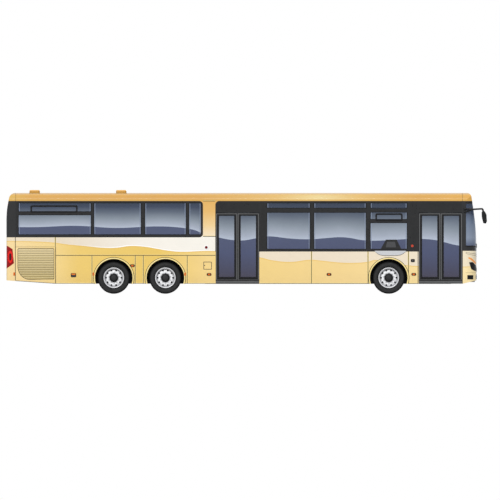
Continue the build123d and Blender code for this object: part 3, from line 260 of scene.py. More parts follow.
# wheel disc by radius: painted shade in the dish and a painted highlight ring at the flange
WHEEL = ((0.0, "9A9A9C"), (0.1, "D4D4D6"), (0.3, "FAFAFA"), (0.5, "F4F4F4"), (0.62, "D0D0D2"),
         (0.85, "B8B8BA"), (0.88, "EEEEEE"), (1.0, "D6D6D8"))
PILLAR_Z = (1.82, 2.95)      # heights in metres
ROOF_EDGE_Z = 3.06
LOUVRES_Z = (0.45, 1.43)
LOUVRE_FOOT, LOUVRE_PITCH = 484.8, 72
SLAT_FOOT, SLAT_PITCH, SLAT_COUNT = 459, 74.3, 13       # of the louvres' faces


def livery(name, grille=False):
    """Gold and cream body paint, black on the end caps and lined with grey inside, with painted highlights
    along the livery line and the roof band's edges, and painted shade and highlights on the grille's
    louvres.
    """
    s = Shade(name, Metallic=0.0, Coat_Weight=0.3, Coat_Roughness=0.08, Specular_IOR_Level=0.3)
    along = s.span(s.x, metres(0), metres(LENGTH))
    above = s.minus(s.z, s.line(LIVERY_LINE))
    gold = s.ramp(along, GOLD)
    gold = s.mix(s.over(above, -0.03), gold, s.mix(0.5, gold, "E3B546"))
    # painted highlight: the cream turns white just above the livery line, on the rear part only
    cream = s.mix(s.times(s.below(above, 0.035), s.ramp(along, GLINT)), s.ramp(along, CREAM), "FAF8F4")
    side = s.mix(s.over(above, 0.0), gold, cream)
    side = s.mix(s.over(s.z, PILLAR_Z[0]), side, s.ramp(s.span(s.z, *PILLAR_Z), PILLAR))
    # painted highlight: the roof band's lower and upper edges turn a brighter yellow, away from the middle
    # of its curve
    rim = s.ramp(s.size(s.minus(s.z, ROOF_EDGE_Z)), ((0.04, 0.0), (0.11, 0.8)))
    colour = s.mix(s.over(s.z, COVE_Z / 1000), side, s.mix(rim, s.ramp(along, ROOF), "DDAC52"))
    rear = s.times(s.below(s.x, metres(CAP_JOINTS[0])), s.between(s.z, REAR_WAIST_Z / 1000, COVE_Z / 1000))
    front = s.times(s.over(s.x, metres(CAP_JOINTS[1])), s.between(s.z, 1.36, COVE_Z / 1000))
    colour = s.mix(s.math("MAXIMUM", rear, front), colour, "222222")
    if grille:
        blade = s.ramp(s.span(s.z, *LOUVRES_Z), BLADE)
        # painted shade low in each louvre's pitch and a painted highlight along its top
        phase = s.phase(LOUVRE_FOOT, LOUVRE_PITCH)
        shadowed = s.ramp(phase, ((0.0, 0.80), (0.55, 0.88), (0.72, 1.0), (1.0, 1.0)))
        top_highlight = s.ramp(phase, ((0.66, 0.0), (0.8, 0.75)))
        blade = s.mix(top_highlight, s.mix(1.0, blade, shadowed, "MULTIPLY"), "F6E6B8")
        colour = s.mix(s.below(s.size(s.y), 1.2735), colour, blade)
    else:
        within = s.times(s.below(s.size(s.y), LINED_HALF), s.between(s.x, *map(metres, LINED)))
        colour = s.mix(s.times(within, s.below(s.z, LINED_Z)), colour, "B9B7B1")
    dust = s.times(s.span(s.z, 0.75, 0.3), s.noise(3.0, 4.0))
    colour = s.mix(s.math("MULTIPLY", dust, 0.22, True), colour, "B9A27A")
    s.bump(s.noise(90.0, 2.0), 0.015, 0.0004)
    return s.finish(s.grain(colour, 1.7, 0.03), (0.3, 0.42, 9.0))


def louvre():
    """Dull gold of the louvres, with painted shade low on each and a painted highlight along its top."""
    s = Shade("louvre_paint", Metallic=0.0, Specular_IOR_Level=0.3)
    phase = s.phase(SLAT_FOOT, SLAT_PITCH)
    # painted shade and a painted highlight by height within each louvre
    shadowed = s.ramp(phase, ((0.0, 0.72), (0.2, 0.9), (0.6, 1.0), (1.0, 1.0)))
    top_highlight = s.ramp(phase, ((0.55, 0.0), (0.78, 0.45), (0.9, 0.1)))
    blade = s.mix(1.0, s.ramp(s.span(s.z, *LOUVRES_Z), SLAT), shadowed, "MULTIPLY")
    s.bump(s.noise(90.0, 2.0), 0.015, 0.0004)
    return s.finish(s.grain(s.mix(top_highlight, blade, "F6E6B8"), 1.7, 0.03), (0.35, 0.48, 9.0))


def glass(name, screen=False):
    """Tinted glass with a painted reflection: a sky gradient above the street line, slate below it, and on
    the windscreen a gradient in height.
    """
    s = Shade(name, Metallic=0.0, Alpha=0.88, IOR=1.5, Coat_Weight=0.3, Coat_Roughness=0.02)
    if screen:
        colour = s.ramp(s.span(s.z, 1.5, 2.89), SCREEN)
        display = s.times(s.below(s.size(s.y), 0.95), s.over(s.z, 2.62))
        frit = s.math("MAXIMUM", s.over(s.z, 2.85), s.below(s.z, 1.53))
        colour = s.mix(s.math("MAXIMUM", frit, display), colour, "141518")
    else:
        line = s.line(GLASS_LINE)
        above = s.minus(s.z, line)
        share = s.math("DIVIDE", above, s.minus(2.878, line))
        slate = s.ramp(s.span(s.z, 0.5, 1.8), SLATE)
        colour = s.mix(s.over(above, 0.0), slate, s.ramp(share, SKY))
    return s.finish(s.grain(colour, 2.2, 0.05), (0.04, 0.09, 5.0))


def plain(name, colour, amount, scale, rough, bump, constants):
    """One base colour with fine variation, wear in its roughness and a light relief."""
    s = Shade(name, **constants)
    if bump:
        s.bump(s.noise(bump[0], 3.0), bump[1], bump[2])
    return s.finish(s.grain(rgb(colour), scale, amount), rough)


def tyre():
    """Black rubber with painted shade: greyest in the middle of the wall and darker towards its inner and
    outer edges.
    """
    s = Shade("tyre_rubber", Metallic=0.0, Specular_IOR_Level=0.3)
    s.bump(s.noise(180.0, 4.0), 0.25, 0.002)
    wall = s.ramp(s.span(s.hub_radius(), 0.32, 0.51), WALL)
    return s.finish(s.grain(wall, 2.5, 0.2, 4.0), (0.62, 0.85, 12.0))


def wheel():
    """Silver paint, brightest on the petals of the disc and greyer near the hub, with painted shade in its
    dish and a painted highlight ring at the flange.
    """
    s = Shade("wheel_silver", Metallic=0.1, Specular_IOR_Level=0.4)
    s.bump(s.noise(120.0, 2.0), 0.08, 0.001)
    tone = s.ramp(s.span(s.hub_radius(), 0.13, 0.33), WHEEL)
    return s.finish(s.grain(tone, 14.0, 0.08), (0.3, 0.46, 25.0))


def fluted(s, scale, strength, distance):
    """Fine flutes of a lens, as relief and as a factor."""
    flutes = s.wave(scale)
    s.bump(flutes, strength, distance)
    return flutes


def lens(name, colour, deep, scale=60.0):
    """Moulded lamp lens."""
    s = Shade(name, Metallic=0.0, Coat_Weight=0.3, Coat_Roughness=0.03, IOR=1.49)
    return s.finish(s.mix(fluted(s, scale, 0.3, 0.002), colour, deep), (0.08, 0.16, 15.0))


def front_lamp():
    """Smoked headlamps with the amber indicator strip above them and fog lamps below."""
    s = Shade("front_lamp_lens", Metallic=0.0, Specular_IOR_Level=0.2)
    flutes = fluted(s, 70.0, 0.15, 0.001)
    slope = s.times(-0.95, s.minus(s.x, metres(14745)))
    amber = s.over(s.z, s.math("MINIMUM", 1.045, s.math("ADD", 1.046, slope)))
    dark = s.mix(s.below(s.z, 0.6), s.mix(flutes, "0B0B0D", "151518"), s.mix(flutes, "07080A", "121318"))
    return s.finish(s.mix(amber, dark, s.mix(flutes, "EE8A2E", "F7B06A")), (0.2, 0.3, 15.0))


def tail_lamp():
    """Red lens with a lighter ring and a dark slit, on the side and on the back."""
    s = Shade("tail_lamp_lens", Metallic=0.0, Coat_Weight=0.15, Coat_Roughness=0.03,
              Specular_IOR_Level=0.25)
    flutes = fluted(s, 60.0, 0.2, 0.0015)
    along = s.minus(s.x, metres(118))
    ring = s.between(s.reach(along, s.times(s.minus(s.z, 1.17), 0.42)), 0.05, 0.082)
    slit = s.times(s.below(s.size(along), 0.02), s.between(s.z, 1.06, 1.28))
    colour = s.mix(ring, s.mix(flutes, "7C0003", "A00305"), "E21812")
    return s.finish(s.mix(slit, colour, "150305"), (0.12, 0.2, 15.0))


def marker():
    """Amber side markers: redder high up, and dark red in the round lamp behind the middle door."""
    s = Shade("marker_lens", Metallic=0.0, Coat_Weight=0.2, Coat_Roughness=0.04, Specular_IOR_Level=0.3)
    amber = s.mix(fluted(s, 80.0, 0.2, 0.001), "C2500A", "E4741A")
    amber = s.mix(s.between(s.z, 1.45, 1.6), amber, "B8412C")
    dark_red = s.between(s.x, metres(6289), metres(6377))
    return s.finish(s.mix(dark_red, amber, "6E0808"), (0.1, 0.2, 15.0))


def fabric():
    """Woven seat moquette with small dashes."""
    s = Shade("seat_moquette", Metallic=0.0, Sheen_Weight=0.35)
    s.bump(s.times(s.wave(330.0, "Y"), s.wave(330.0, "Z")), 0.35, 0.0015)
    ground = s.mix(s.noise(9.0), "27365E", "31447A")
    colour = s.mix(s.below(s.cells(26.0), 0.16), ground, "8FA3CF")
    colour = s.mix(s.below(s.cells(17.0), 0.12), colour, "D9A441")
    return s.finish(s.grain(colour, 120.0, 0.2), (0.8, 0.95, 40.0))


def vinyl():
    """Speckled safety vinyl."""
    s = Shade("safety_vinyl", Metallic=0.0)
    s.bump(s.cells(160.0), 0.3, 0.001)
    colour = s.mix(s.below(s.cells(90.0), 0.22), "4B5058", "8E949C")
    return s.finish(s.grain(colour, 3.0, 0.12), (0.55, 0.75, 10.0))


def brushed(name, colour, metallic, drawn, rough):
    """Finish with a fine grain drawn out by a factor along Z."""
    s = Shade(name, Metallic=metallic)
    grain = s.noise(6.0, 3.0, s.node("Mapping", {0: s.place, "Scale": (1.0, 1.0, drawn)}))
    s.bump(grain, 0.04, 0.0004)
    return s.finish(s.mix(grain, rgb(colour), s.mix(0.1, rgb(colour), "FFFFFF")), rough)


# materials made above; columns: key, slot, material
M, SLOTS = {}, {}
for key, slot, material in (
        ("gold", "gold_paint", livery("livery_paint")),
        ("grille", "gold_paint", livery("livery_grille", grille=True)),
        ("louvre", "gold_paint", louvre()),
        ("glass", "tinted_glass", glass("tinted_glass")),
        ("screen", "tinted_glass", glass("windscreen_glass", screen=True)),
        ("tyre", "tyre_rubber", tyre()),
        ("wheel", "wheel_steel", wheel()),
        ("sill", "aluminium", brushed("sill_aluminium", "2A2A2B", 0.0, 30.0, (0.45, 0.6, 18.0))),
        ("silver", "aluminium", brushed("silver_cover", "C2C2C4", 0.0, 12.0, (0.24, 0.36, 18.0))),
        ("looking", "aluminium", brushed("mirror_glass", "AEB9C8", 1.0, 3.0, (0.02, 0.06, 4.0))),
        ("red", "lamp_lens", lens("red_lens", "C4060A", "EE1512")),
        ("red_light", "lamp_lens", lens("red_inner_lens", "FF4A3E", "F21A16", 90.0)),
        ("amber", "lamp_lens", lens("amber_lens", "D9660F", "F58A24", 70.0)),
        ("clear", "lamp_lens", lens("clear_lens", "D8DDE2", "F2F5F8", 40.0)),
        ("front_lamp", "lamp_lens", front_lamp()),
        ("tail_lamp", "lamp_lens", tail_lamp()),
        ("marker", "lamp_lens", marker()),
        ("fabric", "seat_fabric", fabric()),
        ("floor", "floor_cover", vinyl())):
    M[key], SLOTS[key] = material, slot
DULL = {"Specular_IOR_Level": 0.3}
# materials of one colour; columns: key, slot, name, colour, variation and its scale,
# roughness (low, high, scale), relief (scale, strength, distance), constants
PLAIN = (
    ("black", "black_paint", "black_gloss_trim", "242424", 0.1, 4.0, (0.26, 0.4, 12.0),
     (300.0, 0.04, 0.0005), DULL),
    ("leaf", "black_paint", "door_leaf_paint", "292A2B", 0.12, 5.0, (0.34, 0.46, 14.0),
     (280.0, 0.05, 0.0005), DULL),
    ("grey_black", "black_paint", "satin_trim", "3C3C3E", 0.1, 12.0, (0.4, 0.55, 20.0),
     (220.0, 0.05, 0.0005), {}),
    ("rubber", "tyre_rubber", "black_rubber", "121213", 0.2, 60.0, (0.6, 0.8, 40.0),
     (160.0, 0.2, 0.001), {"Specular_IOR_Level": 0.25}),
    ("tread", "tyre_rubber", "tyre_tread", "161616", 0.25, 30.0, (0.7, 0.9, 20.0),
     (140.0, 0.3, 0.002), {"Specular_IOR_Level": 0.2}),
    ("seam", "tyre_rubber", "seam_sealant", "2B2616", 0.2, 40.0, (0.6, 0.8, 40.0),
     (120.0, 0.15, 0.0006), {}),
    ("dark_seam", "tyre_rubber", "dark_sealant", "141518", 0.2, 40.0, (0.5, 0.7, 40.0), None, {}),
    # bright yellow of painted highlights beside the seams and on the arch lips
    ("glint", "gold_paint", "bright_edge", "F8DF92", 0.04, 12.0, (0.25, 0.4, 12.0), None, {}),
    # light blue of the painted highlights at the pane edges
    ("reveal", "aluminium", "pane_edge", "8793AA", 0.08, 20.0, (0.4, 0.55, 20.0), None, {}),
    ("grey", "aluminium", "grey_edge_trim", "5E5E5E", 0.12, 30.0, (0.4, 0.55, 25.0),
     (200.0, 0.08, 0.0006), {}),
    ("plate", "aluminium", "blank_plate", "E8E8E4", 0.05, 12.0, (0.3, 0.4, 20.0),
     (60.0, 0.03, 0.0006), {}),
    ("hub", "wheel_steel", "hub_paint", "19191B", 0.15, 40.0, (0.35, 0.5, 30.0),
     (150.0, 0.15, 0.001), {"Metallic": 0.1}),
    ("nut", "wheel_steel", "wheel_nut_steel", "070708", 0.2, 60.0, (0.35, 0.5, 40.0),
     (200.0, 0.15, 0.001), DULL),
    ("steel", "frame_steel", "chassis_steel", "2E2F31", 0.25, 12.0, (0.5, 0.75, 20.0),
     (90.0, 0.2, 0.002), {"Metallic": 0.3}),
    ("iron", "cast_iron", "cast_iron", "4A4A4B", 0.25, 25.0, (0.55, 0.8, 20.0),
     (70.0, 0.5, 0.004), {"Metallic": 0.5}),
    ("rail", "rail_steel", "yellow_rail", "F2B705", 0.1, 30.0, (0.28, 0.42, 20.0),
     (250.0, 0.04, 0.0005), {"Coat_Weight": 0.4}),
    ("desk", "desk_plastic", "desk_plastic", "2B2D31", 0.15, 50.0, (0.5, 0.7, 30.0),
     (240.0, 0.3, 0.0012), {}),
    ("white", "desk_plastic", "white_plastic", "F4F4F2", 0.05, 20.0, (0.35, 0.5, 25.0),
     (200.0, 0.05, 0.0005), {}),
    ("shell", "desk_plastic", "seat_shell", "8C9096", 0.1, 20.0, (0.4, 0.55, 25.0),
     (220.0, 0.15, 0.0008), {}),
    ("liner", "desk_plastic", "ceiling_liner", "D9D7D0", 0.06, 8.0, (0.6, 0.75, 12.0),
     (150.0, 0.1, 0.001), {}),
    ("glow", "lamp_lens", "strip_light", "F6F4EC", 0.04, 6.0, (0.35, 0.5, 12.0),
     (90.0, 0.05, 0.0006), {}),
    ("mirror", "mirror_plastic", "mirror_plastic", "0B0B0D", 0.15, 40.0, (0.3, 0.45, 25.0),
     (220.0, 0.1, 0.0006), DULL))
for key, slot, *look in PLAIN:
    M[key], SLOTS[key] = plain(*look), slot
M["bead"], SLOTS["bead"] = M["nut"], "tyre_rubber"

LEAVES = [f"{door}_door_{leaf}" for door in ("mid", "front") for leaf in ("rear", "fore")]
CAD_MATERIALS = {
    "grille": ["engine_side_door"],
    "gold": ["roof_shell", "front_cap", "rear_cap", "side_panels_right", "side_panels_left",
             "engine_door", "fuel_flap", "roof_vents"],
    "black": ["window_band_right", "window_band_left", "door_housings"],
    "glass": ["side_glass", "rear_window"] + [f"{leaf}_glass" for leaf in LEAVES],
    "screen": ["windscreen"],
    "front_lamp": ["front_lamps"],
    "tail_lamp": ["tail_lamps"],
    "marker": ["side_lamps"],
    "floor": ["floor", "floor_steps"],
    "sill": ["door_sills"],
    "steel": ["chassis_frame", "wheel_houses", "seat_frames"],
    "iron": ["engine_block", "front_axle", "drive_axle", "tag_axle", "front_knuckle_right",
             "front_knuckle_left"],
    "rail": ["handrails"],
    "desk": ["driver_desk"],
    "mirror": ["mirrors"],
    "wheel": [f"{axle}_rim_{side}" for axle in AXLES for side in SIDES],
    "leaf": [f"{leaf}_{part}" for leaf in LEAVES for part in ("leaf", "arm")],
}
for key, names in CAD_MATERIALS.items():
    for node_name in names:
        for material_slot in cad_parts[node_name].material_slots:
            material_slot.material = M[key]


# ================ mesh helpers
class Form:
    """Joined mesh under construction, in millimetres."""

    def __init__(self):
        self.points, self.faces = [], []

    def add(self, points, faces):
        base = len(self.points)
        self.points += points
        self.faces += [tuple(base + i for i in face) for face in faces]

    def loft(self, rings, closed=False, caps=True):
        """Skin over equal rings of points."""
        count = len(rings[0])
        faces = []
        for r in range(len(rings) if closed else len(rings) - 1):
            n = (r + 1) % len(rings)
            for i in range(count):
                j = (i + 1) % count
                faces.append((r * count + i, r * count + j, n * count + j, n * count + i))
        if caps and not closed:
            faces.append(tuple(reversed(range(count))))
            faces.append(tuple((len(rings) - 1) * count + i for i in range(count)))
        self.add([p for ring in rings for p in ring], faces)

    def plate(self, outline, low, high, at):
        """Plate with an outline of (u, v), from w low to w high; at places (u, v, w)."""
        self.loft([[at(u, v, w) for u, v in outline] for w in (low, high)])

    def frame(self, outer, inner, low, high, at):
        """Flat frame between two outlines of (u, v), from w low to w high; at places (u, v, w)."""
        self.loft([[at(u, v, w) for u, v in outline] for outline, w in
                   ((inner, low), (outer, low), (outer, high), (inner, high))], closed=True)

    def skin(self, side, outline, deep, out):
        """Plate with an outline of (station, Z), from deep inside a body side to out over it."""
        self.plate(outline, side * (HALF_WIDTH - deep), side * (HALF_WIDTH + out), on_side)

    def skin_ring(self, side, outer, inner, deep, out):
        """Flat frame between two outlines of (station, Z), from deep inside to out."""
        self.frame(outer, inner, side * (HALF_WIDTH - deep), side * (HALF_WIDTH + out), on_side)

    def tube(self, path, radius, sides=10, caps=True):
        """Round bar along points of (station, Y, Z)."""
        pts = [Vector(p) for p in path]
        rings = []
        for i, p in enumerate(pts):
            way = (pts[min(i + 1, len(pts) - 1)] - pts[max(i - 1, 0)]).normalized()
            ref = Vector((0, 0, 1)) if abs(way.z) < 0.9 else Vector((1, 0, 0))
            u = way.cross(ref).normalized()
            v = way.cross(u)
            rings.append([tuple(p + a * u + b * v) for a, b in circle(radius, sides)])
        self.loft(rings, caps=caps)

    def dial(self, profile, station, y, z, way, segments=32):
        """Turned form about an axis along X; profile rows are (reach along the axis, radius)."""
        self.loft([[(station + way * t, y + a, z + b) for a, b in circle(r, segments)]
                   for t, r in profile])

    def lathe(self, profile, station, y, z, side, segments=64, closed=True):
        """Turned form about an axis along Y; profile rows are (outboard, radius)."""
        rings = [[(station + r * c, y + side * t, z + r * s) for t, r in profile]
                 for c, s in circle(1, segments)]
        if side < 0:
            rings.reverse()
        count = len(profile)
        faces = []
        for r in range(segments):
            n = (r + 1) % segments
            for i in range(count if closed else count - 1):
                j = (i + 1) % count
                faces.append((r * count + i, n * count + i, n * count + j, r * count + j))
        self.add([p for ring in rings for p in ring], faces)


def on_side(u, v, w):
    return u, w, v


def in_plan(u, v, w):
    return u, v, w


def rectangle(s0, s1, z0, z1):
    return [(s0, z0), (s1, z0), (s1, z1), (s0, z1)]


def rounded(outline, radius, steps=5):
    """Outline with its corners rounded."""
    result = []
    count = len(outline)
    for i, corner in enumerate(outline):
        p = Vector(corner)
        to_last, to_next = Vector(outline[i - 1]) - p, Vector(outline[(i + 1) % count]) - p
        before, after = to_last.normalized(), to_next.normalized()
        half = before.angle(after) / 2
        reach = min(radius / math.tan(half), to_last.length / 2, to_next.length / 2)
        start, end = p + before * reach, p + after * reach
        for k in range(steps + 1):
            t = k / steps
            q = (1 - t) ** 2 * start + 2 * t * (1 - t) * p + t * t * end
            result.append(tuple(q))
    return result


def panel(s0, s1, z0, z1, radius, steps=5):
    """Rectangle with rounded corners."""
    return rounded(rectangle(s0, s1, z0, z1), radius, steps)


def finer(outline, longest=150, parts=8):
    """Outline with its long edges divided, so that it follows a curved surface."""
    result = []
    for i, (u, v) in enumerate(outline):
        after = outline[(i + 1) % len(outline)]
        count = parts if math.dist((u, v), after) > longest else 1
        result += [(u + (after[0] - u) * k / count, v + (after[1] - v) * k / count)
                   for k in range(count)]
    return result


def fix_normals(mesh):
    """Turns every closed part of a mesh outward."""
    bm = bmesh.new()
    bm.from_mesh(mesh)
    bmesh.ops.recalc_face_normals(bm, faces=bm.faces)
    bm.to_mesh(mesh)
    bm.free()


def new_object(name, data):
    """Object in the scene."""
    obj = bpy.data.objects.new(name, data)
    bpy.context.scene.collection.objects.link(obj)
    return obj


def piece(name, form, material, body="body", bevel=0.0, smooth=35):
    """Object from a form, riding on a body."""
    mesh = bpy.data.meshes.new(name)
    mesh.from_pydata([place(*p) for p in form.points], [], form.faces)
    mesh.validate()
    mesh.materials.append(M[material])
    obj = new_object(name, mesh)
    mesh.shade_smooth()
    fix_normals(mesh)
    mesh.set_sharp_from_angle(angle=math.radians(smooth))
    if bevel:
        edge = obj.modifiers.new("edge", "BEVEL")
        edge.width = bevel / 1000
        edge.segments = 2
        edge.limit_method = "ANGLE"
        edge.angle_limit = math.radians(40)
    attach(obj, body)
    return obj


def side_piece(name, material, deep, out, outlines, left=(), sides=(-1, 1), body="body", bevel=0.0):
    """Piece on the body's sides, of plates or, for a tuple of two outlines, of flat frames."""
    form = Form()
    for side in sides:
        for outline in [*outlines, *(left if side > 0 else ())]:
            if isinstance(outline, tuple):
                form.skin_ring(side, *outline, deep, out)
            else:
                form.skin(side, outline, deep, out)
    piece(name, form, material, body, bevel=bevel)


# ================ wheels
TREAD_GROOVES = (-78, -28, 28, 78)
TREAD_LUGS = 54
GROOVE_R = 494
TREAD_DEEP = 9
TREAD_R = 0.476          # radius in metres over which the rubber is tread
BOLTS = 10
# turned parts of a wheel; the brake drum shows through the hand holes, and the bead ring is the dark
# line round the rim; columns: name, material, bevel, then of each turned form its segments, whether
# its section is closed, the radius of its copies, their turn in steps, section as (outboard, radius)
WHEEL_PARTS = (
    ("rim_flange", "wheel", 0, (96, True, 0, 0, (
        (104, 300), (118, 306), (122, 316), (118, 324), (108, 327), (102, 320)))),
    ("nuts", "wheel", 1.5, (6, False, 167, 0.5, (
        (30, 0.5), (30, 26), (54, 26), (58, 21), (84, 20), (90, 15), (92, 0.5)))),
    ("hole_rims", "wheel", 0, (20, True, 245, 0, (
        (24, 33), (50, 33), (53, 37), (50, 43), (30, 47), (24, 44)))),
    ("hub_cap", "hub", 0, (64, False, 0, 0, (
        (98, 92), (104, 88), (106, 60), (110, 56), (112, 30), (112, 0.5), (98, 0.5)))),
    ("hub_ring", "nut", 0, (64, True, 0, 0, (
        (68, 138), (76, 138), (80, 131), (80, 101), (100, 99), (103, 93), (98, 88), (68, 88))),
     (12, False, 116, 0.5, ((76, 0.5), (76, 13), (84, 12), (87, 8), (87, 0.5)))),
    ("brake_drum", "steel", 0, (96, True, 0, 0, (
        (-8, 150), (-8, 250), (-14, 278), (-24, 282), (-56, 276), (-56, 246), (-20, 240), (-20, 150)))),
    ("bead_ring", "bead", 0, (96, True, 0, 0, (
        (108, 326), (119, 328), (121, 340), (119, 352), (110, 352)))))


def tyre_profile(groove_r):
    """Tyre section as (outboard, radius), with the tread grooves cut to a radius."""
    rows = [(-98, 302), (-106, 312), (-116, 330), (-128, 362), (-137, 400), (-137, 428),
            (-134, 462), (-131, 474), (-122, 494), (-112, 504)]
    for centre in TREAD_GROOVES:
        rows += [(centre - 7, 507), (centre - 5, groove_r), (centre + 5, groove_r), (centre + 7, 507)]
    return rows + [(112, 504), (122, 494), (131, 474), (134, 462), (137, 428), (137, 400),
                   (128, 362), (120, 346), (117, 350), (113, 346), (110, 322), (98, 302)]


def add_tyre(form, station, y, side):
    """One tyre, with notches cut in its shoulders between the lugs."""
    rows = tyre_profile(GROOVE_R)
    first = len(form.points)
    form.lathe(rows, station, y, HUB_Z, side, 2 * TREAD_LUGS)
    for ring in range(1, 2 * TREAD_LUGS, 2):
        for i, (across, r) in enumerate(rows):
            if 100 < abs(across) < 125 and r > 490:
                at = first + ring * len(rows) + i
                s, across_y, z = form.points[at]
                scale = (r - TREAD_DEEP) / r
                form.points[at] = (station + (s - station) * scale, across_y, HUB_Z + (z - HUB_Z) * scale)


for axle, station in AXLES.items():
    for side_name, side in SIDES.items():
        body = f"{axle}_wheel_{side_name}"
        y = side * WHEEL_Y
        tyres = Form()
        for shift in ((0, -TWIN) if axle == "drive" else (0,)):
            add_tyre(tyres, station, side * (WHEEL_Y + shift), side)
        tread = piece(f"{axle}_tyre_tread_{side_name}", tyres, "tyre", body)
        tread.data.materials.append(M["tread"])
        hub_x, _, hub_z = place(station, 0, HUB_Z)
        for face in tread.data.polygons:
            reach = math.hypot(face.center.x - hub_x, face.center.z - hub_z)
            face.material_index = int(reach > TREAD_R)
        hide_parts(f"{axle}_tyre_{side_name}")

        for name, material, bevel, *turned in WHEEL_PARTS:
            form = Form()
            for segments, closed, reach, turn, profile in turned:
                for c, s in circle(reach, BOLTS if reach else 1, 2 * math.pi * turn / BOLTS):
                    form.lathe(profile, station + c, y, HUB_Z + s, side, segments, closed)
            piece(f"{axle}_{name}_{side_name}", form, material, body, bevel)

# ================ body seams and lips
SEAM_W, GLINT_W = 20, 12
DOOR_SEAMS = (280, 1556)      # upright seams with a moving door beside them
# seams of both sides; columns: first station, first Z, last station, last Z
SEAMS = (
    (280, 425, 280, REAR_WAIST_Z), (1547, 1482, 1547, REAR_WAIST_Z), (1556, 1220, 6621, 1220),
    (2710, SKIRT_Z, 2710, 1220), (4080, SKIRT_Z, 4080, 1220), (4336, SKIRT_Z, 4336, 1220),
    (5728, SKIRT_Z, 5728, 1220), (6229, 1820, 6621, 1820), (9668, SKIRT_Z, 9668, MID_WAIST_Z),
    (11460, SKIRT_Z, 11460, MID_WAIST_Z), (12743, SKIRT_Z, 12743, MID_WAIST_Z),
    (1556, SKIRT_Z, 1556, 1482), (6229, COVE_Z, 6621, COVE_Z))
LEFT_SEAMS = ((6621, SKIRT_Z, 6621, MID_WAIST_Z), (8040, SKIRT_Z, 8040, MID_WAIST_Z),
              (13790, SKIRT_Z, 13790, MID_WAIST_Z), (280, 1482, 1547, 1482))
BLACK_SEAMS = ((280, REAR_WAIST_Z, 280, COVE_Z), (14453, SKIRT_Z, 14453, COVE_Z),
               (8036, MID_WAIST_Z, 8036, COVE_Z), (12760, MID_WAIST_Z, 12760, COVE_Z),
               (13045, SKIRT_Z, 13045, COVE_Z), (6640, 2584, 8000, 2584), (13078, 2584, 14440, 2584))
# folded edges of the skirt; columns: first station, last station
SKIRT_EDGES = ((1556, 2838), (3964, 4474), (5600, 6621), (8036, 11554), (12680, 13045))
FOLD_Z = SKIRT_Z + 13
TAIL_SKIRT = [(1540, SKIRT_Z), (1540, 335), (292, 420), (292, 405)]     # rising edge behind


def strip(row, low, high):
    """Outline beside a seam's line, from low to high across it."""
    s0, z0, s1, z1 = row
    if s0 == s1:
        return rectangle(s0 + low, s0 + high, z0, z1)
    return rectangle(s0, s1, z0 + low, z0 + high)


seams, dark_seams, glints = Form(), Form(), Form()
half = SEAM_W / 2
for side in SIDES.values():
    for row in SEAMS + (LEFT_SEAMS if side > 0 else ()):
        upright = row[0] == row[2]
        seams.skin(side, strip(row, -half, half), 3, 1.2)
        if row[0] == DOOR_SEAMS[0] or (upright and row[0] == DOOR_SEAMS[1]):
            continue
        # painted highlights: light strips beside the seams
        if upright:
            glints.skin(side, strip(row, -half - GLINT_W, -half), 3, 0.8)
        glints.skin(side, strip(row, half, half + GLINT_W), 3, 0.8)
    for row in BLACK_SEAMS:
        dark_seams.skin(side, strip(row, -half, half), 3, 1.2)
    if side > 0:
        seams.skin(side, TAIL_SKIRT, 8, 1.5)
    for s0, s1 in SKIRT_EDGES:
        seams.skin(side, rectangle(s0, s1, SKIRT_Z, FOLD_Z), 8, 1.5)
        # painted highlight: a light strip above the skirt's folded edge
        glints.skin(side, rectangle(s0, s1, FOLD_Z, FOLD_Z + 17), 8, 1)
piece("panel_seams", seams, "seam")
piece("seam_glints", glints, "glint")
piece("dark_seams", dark_seams, "dark_seam")

# arches; columns: name, material, section as (radius, out from the body side)
for name, material, rows in (
        # the lips are painted in the bright yellow of a painted highlight
        ("arch_lips", "glint", ((594, 3), (600, 7), (628, 7), (636, 2), (636, -4), (594, -4))),
        ("arch_lip_edges", "seam", ((636, -3), (636, 4), (652, 4), (652, -3))),
        ("arch_rubber", "rubber", ((584, -50), (584, 6), (592, 10), (597, 6), (597, -50)))):
    form = Form()
    low = math.asin((SKIRT_Z - HUB_Z) / rows[0][0])
    for station in AXLES.values():
        for side in SIDES.values():
            form.loft([[(station + r * c, side * (HALF_WIDTH + out), HUB_Z + r * s) for r, out in rows]
                       for c, s in arc(1, 48, low, math.pi - low)])
    piece(name, form, material)

# ================ windows
REAR_BAYS = ((2774, 4264), (4390, 5690), (5785, 6166))
MID_BAYS = ((8258, 9621), (9748, 11396))
UPPER_ROW = (2720, 2878)
MID_ROW = (1420, 2577)
PANES = [(380, 2679, 1880, 2498), (380, 2679, 2609, 2878)]
PANES += [(a, b, 1880, 2878) for a, b in REAR_BAYS]
PANES += [(a, b, *row) for a, b in MID_BAYS for row in (MID_ROW, UPPER_ROW)]
PANES += [(11536, 12696, *row) for row in ((1420, 2248), (2362, 2583), UPPER_ROW)]
LEFT_PANES = [(a, b, *row) for a, b in ((6800, 8130), (13195, 14330)) for row in (MID_ROW, UPPER_ROW)]
# opening top lights; columns: stations, low Z, high Z
HOPPERS = ((777, 2235, 2590, 2786), (11713, 12538, 2318, 2532))
# painted highlights at the pane edges: width and inset
HIGHLIGHT_W = 14
HIGHLIGHT_IN = 22


def grown(box, by, radius):
    """Rounded outline of a box of (s0, s1, z0, z1), larger by a width all round."""
    s0, s1, z0, z1 = box
    return panel(s0 - by, s1 + by, z0 - by, z1 + by, radius)


def gaskets(boxes):
    return [(grown(box, 14, 40), grown(box, -5, 26)) for box in boxes]


def pane_highlights(boxes):
    """Narrow light-blue uprights inside both ends of every pane, a painted highlight on the glass edges."""
    return [rectangle(s, s + HIGHLIGHT_W, z0 + 8, z1 - 8) for s0, s1, z0, z1 in boxes
            for s in (s0 + HIGHLIGHT_IN, s1 - HIGHLIGHT_IN - HIGHLIGHT_W)]


